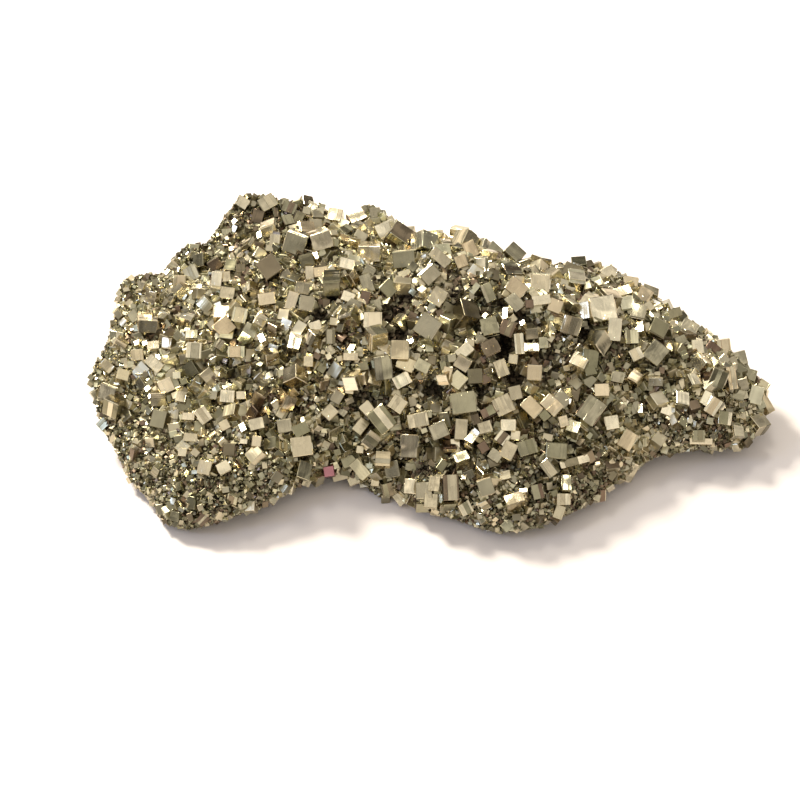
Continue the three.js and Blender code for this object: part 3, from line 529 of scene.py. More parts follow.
def rooted(crystals):
    """The same cubes with their backs lengthened, so that they reach the sunk crust."""
    centre, size, axes = crystals
    longer = depth_at(centre)[:, None]
    return centre - axes[:, :, 2] * longer / 2, size + longer * (0, 0, 1), axes


def sunk(crystals):
    """The same cubes, lowered where the crust has a hollow."""
    centre, size, axes = crystals
    x, y, z = centre.T
    under = z < (top_at(x, y) + bottom_at(x, y)) / 2
    lower = np.where(under, 0, np.maximum(0, depth_at(centre) - CRUST_DEPTH))
    return centre - outward_at(x, y, under) * lower[:, None], size, axes


print("hollows:", len(HOLLOWS), "deepest in mm:", HOLLOWS[:, 2].max())

# %% [markdown]
# Tarnish has turned whole patches of the crust darker than the rest, and left others clean. The dark
# patches are painted shade too, where hollows and faces that mirror a dark room look dark, and the
# pale ones are painted highlight on faces that catch the light. A noise would put them anywhere, so
# they are placed one by one, and each crystal there gets a darker or a paler tone than chance would
# give it.

# %% Tarnished and clean patches, with painted shade and painted highlight
TARNISH_AND_SHADE = np.array([
    # across, up, reach and strength, which is below 0 where the crust stayed clean and is painted
    # paler
    (-23, 34, 9, 0.8), (-1, 16.5, 6, 0.7), (15, 21, 7, 0.6), (35, 13, 5, 0.7), (-11, 12, 5, 0.6),
    (-24, -4, 7, 0.4), (-37, -15, 8, 0.5), (4, -12, 6, 0.7), (24, -13, 7, 0.4), (38, -14, 7, 0.4),
    (-30, 20, 6, 0.4), (20, 7, 5, 0.5), (-25, 27.5, 6, 0.6), (-11, 5, 5, 0.6),
    (17.5, 12.3, 4, 0.85), (-12.6, 20.4, 2.2, 1), (35, -2, 2.5, 0.75), (-24, 24.6, 3, 0.9),
    (-19.4, 28.7, 3, 0.75), (-2, 20.6, 2, 0.9), (-2, -16.5, 2.2, 1), (24, -9, 5.5, 0.75),
    (-5.2, -7.4, 2.2, 0.8), (16.5, -2, 2, 0.95), (11.7, -0.4, 2.5, 0.6), (16.7, 9.8, 2, 1),
    (19.8, 13.3, 2, 1), (29, -9.3, 2.2, 0.85), (-53.5, -1.7, 2.5, 0.7), (47, 8.7, 2.5, 0.6),
    (14, 4.4, 2.2, 0.85), (64.4, 4.8, 2.2, 0.85), (3.3, -3.7, 2.2, -0.3), (-29.6, 15.7, 2.2, -0.8),
    (32, -4.8, 2.2, -1), (42, 18, 2.2, -1), (-2.4, 31.3, 3, -0.6), (-5.7, 26.9, 3, -0.6),
    (42, -7.4, 3, -0.7), (21.5, 20.7, 2.5, -0.7), (45, 19.4, 2.5, -0.7), (-54, 6.3, 2.5, -0.8),
    (-5, 14.8, 2.5, -0.6), (21, -18, 2.5, -0.8), (-40.7, 21.7, 2.5, -0.7), (13, 27.8, 2.5, -0.7),
    (-18, -8.5, 3, -0.25), (-45, 6.5, 3, -0.5), (-39, -3, 2, -0.7), (-10, 25, 2, -0.6),
    (-9, 8, 2, -0.7),
])
tarnish_and_shade_spots = seen_at(TARNISH_AND_SHADE[:, 0], TARNISH_AND_SHADE[:, 1])


def tone_at(points, chance):
    """The tone of crystals at these points: what chance gives, changed by the strongest patch, which
    paints tarnish and shade darker and highlight paler.
    """
    gap = ((points[:, None, :] - tarnish_and_shade_spots[None]) ** 2).sum(-1)
    pull = TARNISH_AND_SHADE[:, 3] * np.exp(-gap / TARNISH_AND_SHADE[:, 2] ** 2)
    pull = pull[np.arange(len(points)), np.abs(pull).argmax(1)]
    return np.where(pull > 0, chance * (1 - pull), chance - pull * (1 - chance))


print("tarnished and clean patches:", len(TARNISH_AND_SHADE))

# %% [markdown]
# ## The ground between the crystals
# Under the cubes is massive pyrite, which shows in the cracks between them and on the broken
# underside. A sculpted or remeshed lump would lose the outline, so the mound's formula is drawn as
# rings. Each point is then pushed in by a cell pattern, whose tilted cells look like broken grains.

# %% Rings of the ground
COLUMNS = 300
TOP_RINGS = 72
UNDER_RINGS = 46
TINY = 1e-9


def ring_shares():
    """How far out each ring lies, and whether it is on the underside."""
    top = np.sin(np.linspace(0, math.pi / 2, TOP_RINGS + 1))[1:]
    under = np.linspace(1, 0, UNDER_RINGS + 1)[1:-1]
    return np.concatenate([top, under]), np.arange(len(top) + len(under)) >= len(top)


def ground_rings():
    """Points and triangles of the mound, without relief."""
    angle = -math.pi + FULL_TURN * np.arange(COLUMNS) / COLUMNS
    outs, unders = ring_shares()
    rings = [place(angle, out, under) for out, under in zip(outs, unders)]
    top = place(np.array(0.0), 0.0, False)
    bottom = place(np.array(0.0), 0.0, True)
    points = np.concatenate([top[None]] + rings + [bottom[None]])
    j = np.arange(COLUMNS)
    after = (j + 1) % COLUMNS
    triangles = [np.stack([np.zeros_like(j), 1 + j, 1 + after], 1)]
    for ring in range(len(rings) - 1):
        here, there = 1 + ring * COLUMNS, 1 + (ring + 1) * COLUMNS
        triangles.append(np.stack([here + j, there + j, there + after], 1))
        triangles.append(np.stack([here + j, there + after, here + after], 1))
    last, outer = len(points) - 1, 1 + (len(rings) - 1) * COLUMNS
    triangles.append(np.stack([np.full_like(j, last), outer + after, outer + j], 1))
    return points, np.concatenate(triangles)


def normals_of(points, triangles):
    """Area of each triangle, and the smooth outward direction at each point."""
    a, b, c = (points[triangles[:, k]] for k in range(3))
    cross = np.cross(b - a, c - a)
    summed = np.zeros_like(points)
    for k in range(3):
        np.add.at(summed, triangles[:, k], cross)
    length = np.linalg.norm(summed, axis=1, keepdims=True)
    return np.linalg.norm(cross, axis=1) / 2, summed / np.maximum(length, TINY)


smooth_points, ground_triangles = ground_rings()
_, smooth_normals = normals_of(smooth_points, ground_triangles)
ground_points = smooth_points - smooth_normals * depth_at(smooth_points)[:, None]
ground_areas, ground_normals = normals_of(ground_points, ground_triangles)
print("ground triangles:", len(ground_triangles))
print("surface in cm2:", (ground_areas.sum() / 100).round(1))

# %% The relief of broken grains
GRAIN_CELL = 1.3
GRAIN_TILT = 0.55
GRAIN_DEPTH = 0.35
GRAIN_SHARE = 0.5
FRACTURE_CELL = 5.0
FRACTURE_TILT = 0.22
FRACTURE_FROM = 0.95
FRACTURE_FADE = 8
HIGHEST_PUSH = 0.35
LEAN_STRIDE = 7.3


def cell_relief(point, cell, tilt):
    """Height of tilted cells: each cell of the pattern leans its own way."""
    _, nearest = noise.voronoi(point / cell)
    lean = noise.cell_vector(nearest[0] * LEAN_STRIDE)
    return ((point / cell - nearest[0]).dot(lean)) * tilt * cell


def relief_at(point, fractured):
    """Small grains everywhere, and broad broken faces on the underside."""
    grains = cell_relief(point, GRAIN_CELL, GRAIN_TILT) - GRAIN_DEPTH
    return grains * GRAIN_SHARE + fractured * cell_relief(point, FRACTURE_CELL, FRACTURE_TILT)


def ground_with_relief():
    out, _ = how_far_out(ground_points[:, 0], ground_points[:, 1])
    under = ground_normals[:, 2] < 0
    share = np.where(under, np.clip((FRACTURE_FROM - out) * FRACTURE_FADE, 0, 1), 0)
    push = np.array([relief_at(Vector(p), s) for p, s in zip(ground_points, share)])
    moved = ground_points + ground_normals * np.minimum(push, HIGHEST_PUSH)[:, None]
    moved[:, 2] = np.maximum(moved[:, 2], 0)
    return moved


relief_points = ground_with_relief()
print("deepest relief in mm:", (relief_points - ground_points).min().round(2))

# %% [markdown]
# ## Crystals down to the finest druse
# A crust like this has no bare ground: between cubes of 2 to 4 mm sit cubes of 1 mm, and between
# those a druse of half a millimetre. They could be particles, but joined meshes can be exported and
# looked at from any side. They are thrown like darts, the large ones first, and a dart counts only
# where it keeps away from what is already there. Random numbers come from one seed.

# %% Sizes, from coarse to fine
CLASSES = [
    # name, least and largest edge, tries, spacing, how fine and how deep a place may be, and the
    # share of the edge by which it stands out
    ("medium", 1.4, 2.7, 5000, 0.38, 0.175, 1.3, (-0.3, 0.15)),
    ("small", 0.8, 1.5, 26000, 0.34, 0.45, 2.0, (-0.3, 0.2)),
    ("druse", 0.42, 1.0, 260000, 0.36, 1.0, 9.0, (-0.15, 0.25)),
]
print("kinds of crystal to throw:", [row[0] for row in CLASSES])

# %% A register of taken places
CELL = 1.25


class Register:
    """Cells of space, each with the crystals that reach into it."""

    def __init__(self):
        self.cells = {}

    def add(self, centre, edge, reach):
        low = np.floor((centre - reach) / CELL).astype(int)
        high = np.floor((centre + reach) / CELL).astype(int)
        entry = (*centre, edge)
        for i in range(low[0], high[0] + 1):
            for j in range(low[1], high[1] + 1):
                for k in range(low[2], high[2] + 1):
                    self.cells.setdefault((i, j, k), []).append(entry)

    def is_free(self, x, y, z, edge, spacing):
        key = (math.floor(x / CELL), math.floor(y / CELL), math.floor(z / CELL))
        for cx, cy, cz, other in self.cells.get(key, ()):
            gap = spacing * (edge + other)
            if (x - cx) ** 2 + (y - cy) ** 2 + (z - cz) ** 2 < gap * gap:
                return False
        return True


print("cells of the register in mm:", CELL)


# %% Random places and turns
def random_axes(rng, count):
    """Evenly spread random turns, as matrices whose columns are the edge directions."""
    q = rng.normal(size=(count, 4))
    q /= np.linalg.norm(q, axis=1, keepdims=True)
    w, x, y, z = q.T
    return np.stack([
        np.stack([1 - 2 * (y * y + z * z), 2 * (x * y - z * w), 2 * (x * z + y * w)], 1),
        np.stack([2 * (x * y + z * w), 1 - 2 * (x * x + z * z), 2 * (y * z - x * w)], 1),
        np.stack([2 * (x * z - y * w), 2 * (y * z + x * w), 1 - 2 * (x * x + y * y)], 1),
    ], 1)


def darts(rng, count):
    """Random points of the ground with their outward directions."""
    chosen = rng.choice(len(ground_triangles), count, p=ground_areas / ground_areas.sum())
    share = rng.random((count, 2))
    share = np.where(share.sum(1, keepdims=True) > 1, 1 - share, share)
    share = np.column_stack([1 - share.sum(1), share])
    corners = ground_triangles[chosen]
    spot = (ground_points[corners] * share[..., None]).sum(1)
    normal = (ground_normals[corners] * share[..., None]).sum(1)
    return spot, normal / np.linalg.norm(normal, axis=1, keepdims=True)


def height_over_ground(points):
    """Millimetres out of the mound's surface, negative inside it."""
    x, y, z = points.T
    out, _ = how_far_out(x, y)
    radius = np.hypot(x - MIDDLE[0], y - MIDDLE[1])
    upright = np.maximum(z - top_at(x, y), bottom_at(x, y) - z)
    return np.where(out > 1, radius * (1 - 1 / np.maximum(out, TINY)), upright)


highest = height_over_ground(large[0]).max()
print("a large cube's middle lies over the mound by up to, in mm:", highest.round(2))


# %% Throwing one kind of crystal
SHELTERED_SLOPE = -0.3
SHELTERED_OUT = 0.86
SHELTERED_SHARE = 0.12
FINE_SHRINK = 0.6
SMALL_FAVOUR = 1.6
TABLE_GAP = 0.3
SIDE_RATIO = (0.8, 1.3)


def thrown(rng, taken, row):
    """Crystals of one kind that found a free place. Small ones are favoured, most of all where the
    crust is fine, and few grow in the shelter of the underside."""
    _, least, most, tries, spacing, finest, deepest, raised = row
    spot, normal = darts(rng, tries)
    fine = fineness_at(spot[:, 0], spot[:, 1])
    out, _ = how_far_out(spot[:, 0], spot[:, 1])
    sheltered = (normal[:, 2] < SHELTERED_SLOPE) & (out < SHELTERED_OUT)
    draw = rng.random((tries, 4))
    edge = least + (most - least) * (1 - FINE_SHRINK * fine) * draw[:, 0] ** SMALL_FAVOUR
    wanted = (fine * draw[:, 1] < finest) & (~sheltered | (draw[:, 2] < SHELTERED_SHARE))
    wanted &= height_over_ground(spot) > -deepest
    centre = spot + normal * (edge * between(raised, draw[:, 3]))[:, None]
    kept = []
    for i in np.flatnonzero(wanted):
        x, y, z = centre[i]
        if z > edge[i] * TABLE_GAP and taken.is_free(x, y, z, edge[i], spacing):
            kept.append(i)
            taken.add(centre[i], edge[i], spacing * (edge[i] + most))
    ratio = rng.uniform(*SIDE_RATIO, (len(kept), 3))
    return centre[kept], edge[kept][:, None] * ratio, random_axes(rng, len(kept))


print("share of darts that may stick in the shelter:", SHELTERED_SHARE)


# %% [markdown]
# The wide flashes on the real specimen are few, and all of them are in the lists above. Crystals of
# 1 to 3 mm that would add others by chance are turned a little further round one of their own
# edges.

# %% Turn chance flashes away
FLASH_REACH = math.radians(9)
FLASH_TURN = math.radians(24)
FLASH_SHARE = {"medium": 1.0, "small": 0.6, "druse": 0.0}


def turned_away(crystals, share):
    """The same crystals, with those that would show the viewer a lamp turned further."""
    centre, size, axes = crystals
    lamps = np.array([mirror_facing(*lamp) for lamp in (KEY_LAMP, CEILING_LAMP)])
    shown = np.abs(np.einsum("ld,nda->nla", lamps, axes)).max(1)
    rows = np.flatnonzero(shown.max(1) > math.cos(FLASH_REACH))
    rows = rows[:int(len(rows) * share)]
    first = (shown[rows].argmax(1) + 1) % 3
    second = (first + 1) % 3
    third = (first + 2) % 3
    cosine, sine = math.cos(FLASH_TURN), math.sin(FLASH_TURN)
    turned = axes.copy()
    turned[rows, :, second] = cosine * axes[rows, :, second] + sine * axes[rows, :, third]
    turned[rows, :, third] = cosine * axes[rows, :, third] - sine * axes[rows, :, second]
    print("turned away:", len(rows), "of", len(axes))
    return centre, size, turned


# %% Throw them, largest first
SEED_OF_FILL = 7
CLEARANCE = 0.47
WIDEST_NEIGHBOUR = 3.6
fill_rng = np.random.default_rng(SEED_OF_FILL)
register = Register()
for centres, sizes, _ in (large, scattered, single, rose):
    for centre, edge in zip(centres, sizes.mean(1)):
        register.add(centre, edge, CLEARANCE * (edge + WIDEST_NEIGHBOUR))
filled = {}
for row in CLASSES:
    filled[row[0]] = turned_away(thrown(fill_rng, register, row), FLASH_SHARE[row[0]])
    print(row[0], "crystals:", len(filled[row[0]][0]))

# %% [markdown]
# ## Turning places into crystals
# A pyrite cube isn't a plain box. Its edges are a little worn and catch the light, and it often
# carries a step where a layer stopped growing. Every crystal is therefore a box with narrow flats
# along its edges and corners, built from one pattern of 24 points for all of them at once, which is
# much quicker than a modifier on each.

# %% The pattern of one crystal
SIGNS = np.array([(i, j, k) for i in (-1, 1) for j in (-1, 1) for k in (-1, 1)])
AROUND = ((-1, -1), (1, -1), (1, 1), (-1, 1))
SIDES = 6
# Kinds of face next to 0, 1 and 2, which are the main faces across the three axes
EDGE_FLAT, CORNER_FLAT = 3, 4


def corner_at(a, s, t, u):
    """The corner on side s of axis a, side t of the next axis and side u of the last."""
    at = [0, 0, 0]
    at[a], at[(a + 1) % 3], at[(a + 2) % 3] = s, t, u
    return at


def crystal_pattern():
    """Signs of the 24 points, which axis each one's main face has, and each face as its point
    numbers and its kind."""
    signs = np.repeat(SIGNS, 3, axis=0)
    axis = np.tile(np.arange(3), len(SIGNS))
    number = {(*at, a): 3 * c + a for c, at in enumerate(SIGNS) for a in range(3)}
    faces = []
    for a in range(3):
        for s in (-1, 1):
            ring = [number[(*corner_at(a, s, t, u), a)] for t, u in AROUND]
            faces.append((ring if s > 0 else ring[::-1], a))
    for a in range(3):
        b = (a + 1) % 3
        for s, t in ((-1, -1), (-1, 1), (1, -1), (1, 1)):
            low, high = corner_at(a, s, t, -1), corner_at(a, s, t, 1)
            ring = [number[(*low, a)], number[(*high, a)], number[(*high, b)], number[(*low, b)]]
            faces.append((ring if s * t < 0 else ring[::-1], EDGE_FLAT))
    for at in SIGNS:
        ring = [number[(*at, a)] for a in range(3)]
        faces.append((ring if at.prod() > 0 else ring[::-1], CORNER_FLAT))
    return signs, axis, faces


PATTERN_SIGNS, PATTERN_AXIS, PATTERN_FACES = crystal_pattern()
IS_INNER = np.array([[k != axis for k in range(3)] for axis in PATTERN_AXIS])
print("points and faces of one crystal:", len(PATTERN_SIGNS), len(PATTERN_FACES))


# %% The maps of one crystal
INNER = 0.38
OUTER = 0.5


def face_home(face, kind):
    """The main face whose cell of the map holds this face: its axis and its side."""
    if kind < EDGE_FLAT:
        return kind, PATTERN_SIGNS[face[0]][kind]
    if kind == CORNER_FLAT:
        return 0, PATTERN_SIGNS[face[0]][0]
    axes = sorted({PATTERN_AXIS[point] for point in face})
    home = 2 if axes == [0, 2] else axes[0]
    return home, PATTERN_SIGNS[face[0]][home]


def loop_pattern():
    """For each face corner: its point, its cell, its place in the cell and the axes of the map."""
    rows = []
    for face, kind in PATTERN_FACES:
        axis, side = face_home(face, kind)
        b, c = (axis + 1) % 3, (axis + 2) % 3
        for point in face:
            sign, own = PATTERN_SIGNS[point], PATTERN_AXIS[point]
            across = sign[b] * (OUTER if own == b else INNER)
            up = sign[c] * (OUTER if own == c else INNER)
            rows.append((point, 2 * axis + (side > 0), 0.5 + across, 0.5 + up, b, c))
    return np.array(rows)


LOOPS = loop_pattern()
LOOP_POINT, LOOP_CELL, MAP_ACROSS, MAP_UP = LOOPS[:, (0, 1, 4, 5)].T.astype(int)
FACE_SIZES = np.array([len(face) for face, _ in PATTERN_FACES])
WORN_CUBE = (LOOP_POINT, FACE_SIZES, LOOP_CELL, LOOPS[:, 2:4])
print("face corners of one crystal:", len(LOOPS))


# %% Meshes from arrays
def placed(name, data):
    """A new object in the scene."""
    thing = bpy.data.objects.new(name, data)
    bpy.context.scene.collection.objects.link(thing)
    return thing


def mesh_object(name, points, loops, face_sizes):
    mesh = bpy.data.meshes.new(name)
    mesh.vertices.add(len(points))
    mesh.vertices.foreach_set("co", ((points + TO_ORIGIN) * MM).ravel())
    mesh.loops.add(loops.size)
    mesh.loops.foreach_set("vertex_index", loops.ravel())
    mesh.polygons.add(len(face_sizes))
    starts = np.concatenate([[0], np.cumsum(face_sizes)[:-1]])
    mesh.polygons.foreach_set("loop_start", starts)
    mesh.update(calc_edges=True)
    mesh.validate()
    mesh.shade_flat()
    return placed(name, mesh)


def add_map(piece, name, places):
    layer = piece.data.uv_layers.new(name=name)
    layer.data.foreach_set("uv", places.astype(np.float32).ravel())


def add_values(piece, name, values):
    attribute = piece.data.attributes.new(name, "FLOAT", "POINT")
    attribute.data.foreach_set("value", values.astype(np.float32))


print("a worn cube and a plain box take points:", len(PATTERN_SIGNS), len(SIGNS))


# %% All crystals of a set in one mesh
STRIAE_START_MM = 90


def one_mesh(name, crystals, local, pattern, striae, rng):
    """A mesh of all crystals, from their points on their own axes. It has a map for the bake, a map
    in millimetres for the striations, and for each crystal a tone and a lustre."""
    centre, _, axes = crystals
    point, face_sizes, home, in_cell = pattern
    count, each = local.shape[:2]
    points = centre[:, None, :] + np.einsum("nij,nkj->nki", axes, local)
    points[..., 2] = np.maximum(points[..., 2], 0)
    points = points.reshape(-1, 3)
    first = (np.arange(count) * each)[:, None]
    piece = mesh_object(name, points, first + point, np.tile(face_sizes, count))
    cells = math.ceil(math.sqrt(SIDES * count))
    cell = SIDES * np.arange(count)[:, None] + home
    across, up = (cell % cells + in_cell[:, 0]) / cells, (cell // cells + in_cell[:, 1]) / cells
    add_map(piece, "OFBake", np.stack([across, up], -1))
    add_map(piece, "striae", striae + rng.random((count, 1, 2)) * STRIAE_START_MM)
    add_values(piece, "tone", np.repeat(tone_at(centre, rng.random(count)), each))
    add_values(piece, "lustre", np.repeat(rng.random(count), each))
    # Height over the mound, which sets where dirt and painted shade darken the hollows
    add_values(piece, "height", height_over_ground(points))
    print(name, "crystals:", count, "faces:", len(piece.data.polygons))
    return piece


def crystal_piece(name, crystals, worn, seed):
    """Cubes with worn edges; the wear is a share of the shortest edge."""
    size = crystals[1]
    inner = IS_INNER[None] * (worn * size.min(1))[:, None, None]
    local = PATTERN_SIGNS[None] * (size[:, None, :] / 2 - inner)
    spread = local[:, LOOP_POINT]
    corner = np.arange(len(LOOPS))
    striae = np.stack([spread[:, corner, MAP_ACROSS], spread[:, corner, MAP_UP]], -1)
    return one_mesh(name, crystals, local, WORN_CUBE, striae, np.random.default_rng(seed))


# %% [markdown]
# ## Growth steps
# A pyrite cube grows in layers, and some stop short of the edge. A step could be cut with a knife
# tool on every face. Here a slab that is a little thicker than the cube and narrower in one
# direction is let through it, so that it stands out of two or four faces by a few hundredths.

# %% Slabs through the cubes
STEP_HEIGHT = (0.02, 0.05)
STEP_WIDTH = (0.25, 0.7)
STEP_INSET = 0.995
STEP_SLIDE = 0.45


def growth_steps(crystals, share, seed):
    """Slabs for some of the crystals, each in line with its crystal."""
    rng = np.random.default_rng(seed)
    centre, size, axes = crystals
    chosen = np.flatnonzero(rng.random(len(centre)) < share)
    picked = size[chosen]
    rows = np.arange(len(chosen))
    narrow = rng.integers(0, 3, len(chosen))
    width = between(STEP_WIDTH, rng.random(len(chosen)))
    proud = picked.min(1) * between(STEP_HEIGHT, rng.random(len(chosen)))
    slab = picked + 2 * proud[:, None]
    slab[rows, (narrow + 1) % 3] = picked[rows, (narrow + 1) % 3] * STEP_INSET
    slab[rows, narrow] = picked[rows, narrow] * width
    slide = picked[rows, narrow] * (1 - width) * rng.uniform(-STEP_SLIDE, STEP_SLIDE, len(chosen))
    moved = centre[chosen] + axes[chosen][rows, :, narrow] * slide[:, None]
    return moved, slab, axes[chosen]


def joined(*sets):
    """One set in place of several."""
    return tuple(np.concatenate(parts) for parts in zip(*sets))


def with_steps(crystals, steps):
    """The crystals and their slabs; each step is a share of the crystals and a seed."""
    return joined(crystals, *(growth_steps(crystals, share, seed) for share, seed in steps))


def halves(crystals):
    """Two sets in place of one, so that no piece has too many triangles."""
    middle = len(crystals[0]) // 2
    return [tuple(part[half] for part in crystals) for half in (slice(middle), slice(middle, None))]


print("a step stands out by at most", STEP_HEIGHT[1], "of its crystal's shortest edge")

# %% The pieces with worn edges
WORN_LARGE = 0.03
WORN_SMALL = 0.05
LARGE_STEPS = [(0.8, 11), (0.6, 12)]
MEDIUM_STEPS = [(0.4, 13)]
cubes = joined(rooted(large), turned_away(sunk(scattered), 1.0))
small_1, small_2 = halves(filled["small"])
WORN_PIECES = [
    # name, crystals, wear and seed
    ("large_cubes", with_steps(cubes, LARGE_STEPS), WORN_LARGE, 21),
    ("medium_cubes", with_steps(filled["medium"], MEDIUM_STEPS), WORN_LARGE, 22),
    ("single_cubes", single, WORN_SMALL, 25), ("rose_crystal", rose, WORN_SMALL, 26),
    ("small_cubes_1", small_1, WORN_SMALL, 23), ("small_cubes_2", small_2, WORN_SMALL, 24),
]
pieces = [crystal_piece(*row) for row in WORN_PIECES]

# %% [markdown]
# The druse is too fine for worn edges to show, so its crystals are plain boxes of eight points.

# %% The druse
BOX_FACES = np.array([
    (0, 1, 3, 2), (4, 6, 7, 5), (0, 4, 5, 1), (2, 3, 7, 6), (0, 2, 6, 4), (1, 5, 7, 3)])
BOX_SQUARE = np.array([(0.06, 0.06), (0.94, 0.06), (0.94, 0.94), (0.06, 0.94)])
BOX_PLACES = np.tile(BOX_SQUARE, (SIDES, 1))
PLAIN_BOX = (BOX_FACES.ravel(), np.full(SIDES, 4), np.repeat(np.arange(SIDES), 4), BOX_PLACES)
SKEW = (0.75, 1.1)
DRUSE_SEEDS = (31, 32)


def druse_piece(name, crystals, seed):
    """Plain boxes whose corners are pushed about, because crystals this fine are seldom square."""
    rng = np.random.default_rng(seed)
    size = crystals[1]
    skewed = SIGNS[None] * size[:, None, :] / 2 * rng.uniform(*SKEW, (len(size), *SIGNS.shape))
    striae = BOX_PLACES[None] * size.mean(1)[:, None, None]
    return one_mesh(name, crystals, skewed, PLAIN_BOX, striae, rng)


for i, (druse, seed) in enumerate(zip(halves(filled["druse"]), DRUSE_SEEDS)):
    pieces.append(druse_piece(f"druse_{i + 1}", druse, seed))

# %% The ground as a piece
MAP_MARGIN = 1.05
MAP_SPAN = 2 * MAP_MARGIN * FARTHEST_RIM
TOP_MIDDLE = np.array([0.5, 0.25])
UNDER_SHIFT = 0.5
LUSTRE_STRIDE = 7


def ground_piece(name):
    """The ground, with its crown in the lower half of the bake's map and its underside above."""
    piece = mesh_object(name, relief_points, ground_triangles, np.full(len(ground_triangles), 3))
    flat = relief_points[ground_triangles.ravel()][:, :2]
    under = np.repeat(ground_normals[ground_triangles].mean(1)[:, 2] < 0, 3)
    places = TOP_MIDDLE + flat / MAP_SPAN
    places[:, 1] += UNDER_SHIFT * under
    add_map(piece, "OFBake", places)
    add_map(piece, "striae", flat)
    cell = np.array([noise.cell(Vector(p / GRAIN_CELL)) for p in relief_points])
    add_values(piece, "tone", cell % 1)
    add_values(piece, "lustre", cell * LUSTRE_STRIDE % 1)
    # Height over the mound, which sets where dirt and painted shade darken the hollows
    add_values(piece, "height", height_over_ground(relief_points))
    print(name, "faces:", len(piece.data.polygons))
    return piece


pieces.append(ground_piece("massive_pyrite"))

# %% [markdown]
# ## The finish of pyrite
# Pyrite is a metallic mineral. Its reflection is pale brass yellow, which decides its base colour.
# It has no skin of lacquer or oxide worth a second layer, so one metallic shader is enough, and the
# default IOR stays. Cube faces carry fine striations that run one way on each pair of faces, and a
# thin tarnish shifts some crystals to olive, brown or grey. Hollows are painted dark, partly as dirt
# and partly as painted shade.

# %% Colours and one helper for nodes
BRASS = "#cbbfa1"
PALE = "#e4dcc2"
WARM_BRASS = "#ccba98"
OLIVE = "#8b876c"
DARK_OLIVE = "#716d56"
GREENISH = "#bcba9d"
DULL = "#a8a18a"
BROWN = "#756253"
# Dark colour of the hollows: dirt, and painted shade where little light reaches
DIRT_AND_SHADE = "#3a3127"
ROSE = "#a8747a"


def linear(colour):
    """An sRGB hex colour as linear red, green, blue and alpha."""
    parts = [int(colour[i:i + 2], 16) / 255 for i in (1, 3, 5)]
    return [p / 12.92 if p <= 0.04045 else ((p + 0.055) / 1.055) ** 2.4 for p in parts] + [1.0]


def add_node(tree, kind, output, inputs=(), stops=(), **settings):
    """An output of a new node, whose inputs are values or links and whose ramp may have stops."""
    made = tree.nodes.new("ShaderNode" + kind)
    for name, value in settings.items():
        setattr(made, name, value)
    for name, value in dict(inputs).items():
        if isinstance(value, bpy.types.NodeSocket):
            tree.links.new(value, made.inputs[name])
        else:
            made.inputs[name].default_value = value
    for i, (position, colour) in enumerate(stops):
        elements = made.color_ramp.elements
        element = elements[i] if i < 2 else elements.new(position)
        element.position, element.color = position, colour
    return made.outputs[output]


print("brass in linear light:", [round(v, 3) for v in linear(BRASS)])

# %% [markdown]
# The striations run along one edge of each face, so they are drawn on the map in millimetres, not
# in space. Real ones are hundredths of a millimetre apart, so they are drawn as coarse as it takes
# to see them. Under them lie broad growth layers, each leaning its own way, and a gentle bend of
# the whole face.

# %% The relief of a cube face
STRIA_MM, STRIA_LENGTH_MM = 0.7, 9.0
LAYER_MM, LAYER_LENGTH_MM = 1.6, 6.4
BEND_MM = 3.2
STRIA_HEIGHT = 0.035
LAYER_HEIGHT = 0.12
BEND_HEIGHT = 0.42


def face_relief(tree, plane):
    """The direction of a face's surface, with its bend, its growth layers and its striations."""
    along = add_node(tree, "Mapping", "Vector", {
        "Vector": plane, "Scale": (1 / STRIA_MM, 1 / STRIA_LENGTH_MM, 1)})
    striae = add_node(tree, "TexNoise", "Fac", {
        "Vector": along, "Scale": 1.0, "Detail": 1.5, "Roughness": 0.5})
    broad = add_node(tree, "Mapping", "Vector", {
        "Vector": plane, "Scale": (1 / LAYER_MM, 1 / LAYER_LENGTH_MM, 1)})
    cell = add_node(tree, "TexVoronoi", "Position", {
        "Vector": broad, "Scale": 1.0, "Randomness": 0.9}, distance="CHEBYCHEV")
    from_cell = add_node(tree, "VectorMath", "Vector", {0: broad, 1: cell}, operation="SUBTRACT")
    lean = add_node(tree, "VectorMath", "Vector", {
        0: cell.node.outputs["Color"], 1: (0.5, 0.5, 0.5)}, operation="SUBTRACT")
    layers = add_node(tree, "VectorMath", "Value", {0: from_cell, 1: lean}, operation="DOT_PRODUCT")
    bend = add_node(tree, "TexNoise", "Fac", {
        "Vector": plane, "Scale": 1 / BEND_MM, "Detail": 0.0})
    relief = 0.0
    for pattern, high in ((bend, BEND_HEIGHT), (layers, LAYER_HEIGHT), (striae, STRIA_HEIGHT)):
        relief = add_node(tree, "Math", "Value", {0: pattern, 1: high, 2: relief},
                          operation="MULTIPLY_ADD")
    return add_node(tree, "Bump", "Normal", {"Height": relief, "Distance": MM, "Strength": 1.0})


print("striations every", STRIA_MM, "mm on layers of", LAYER_MM, "mm")

# %% [markdown]
# The tone and the lustre of each crystal are numbers on its points. The tone picks a colour, which
# faint stains darken a little. The height over the ground is a number too, and says where dirt and
# painted shade darken the colour: they fade in towards the depths, and dull what they cover.

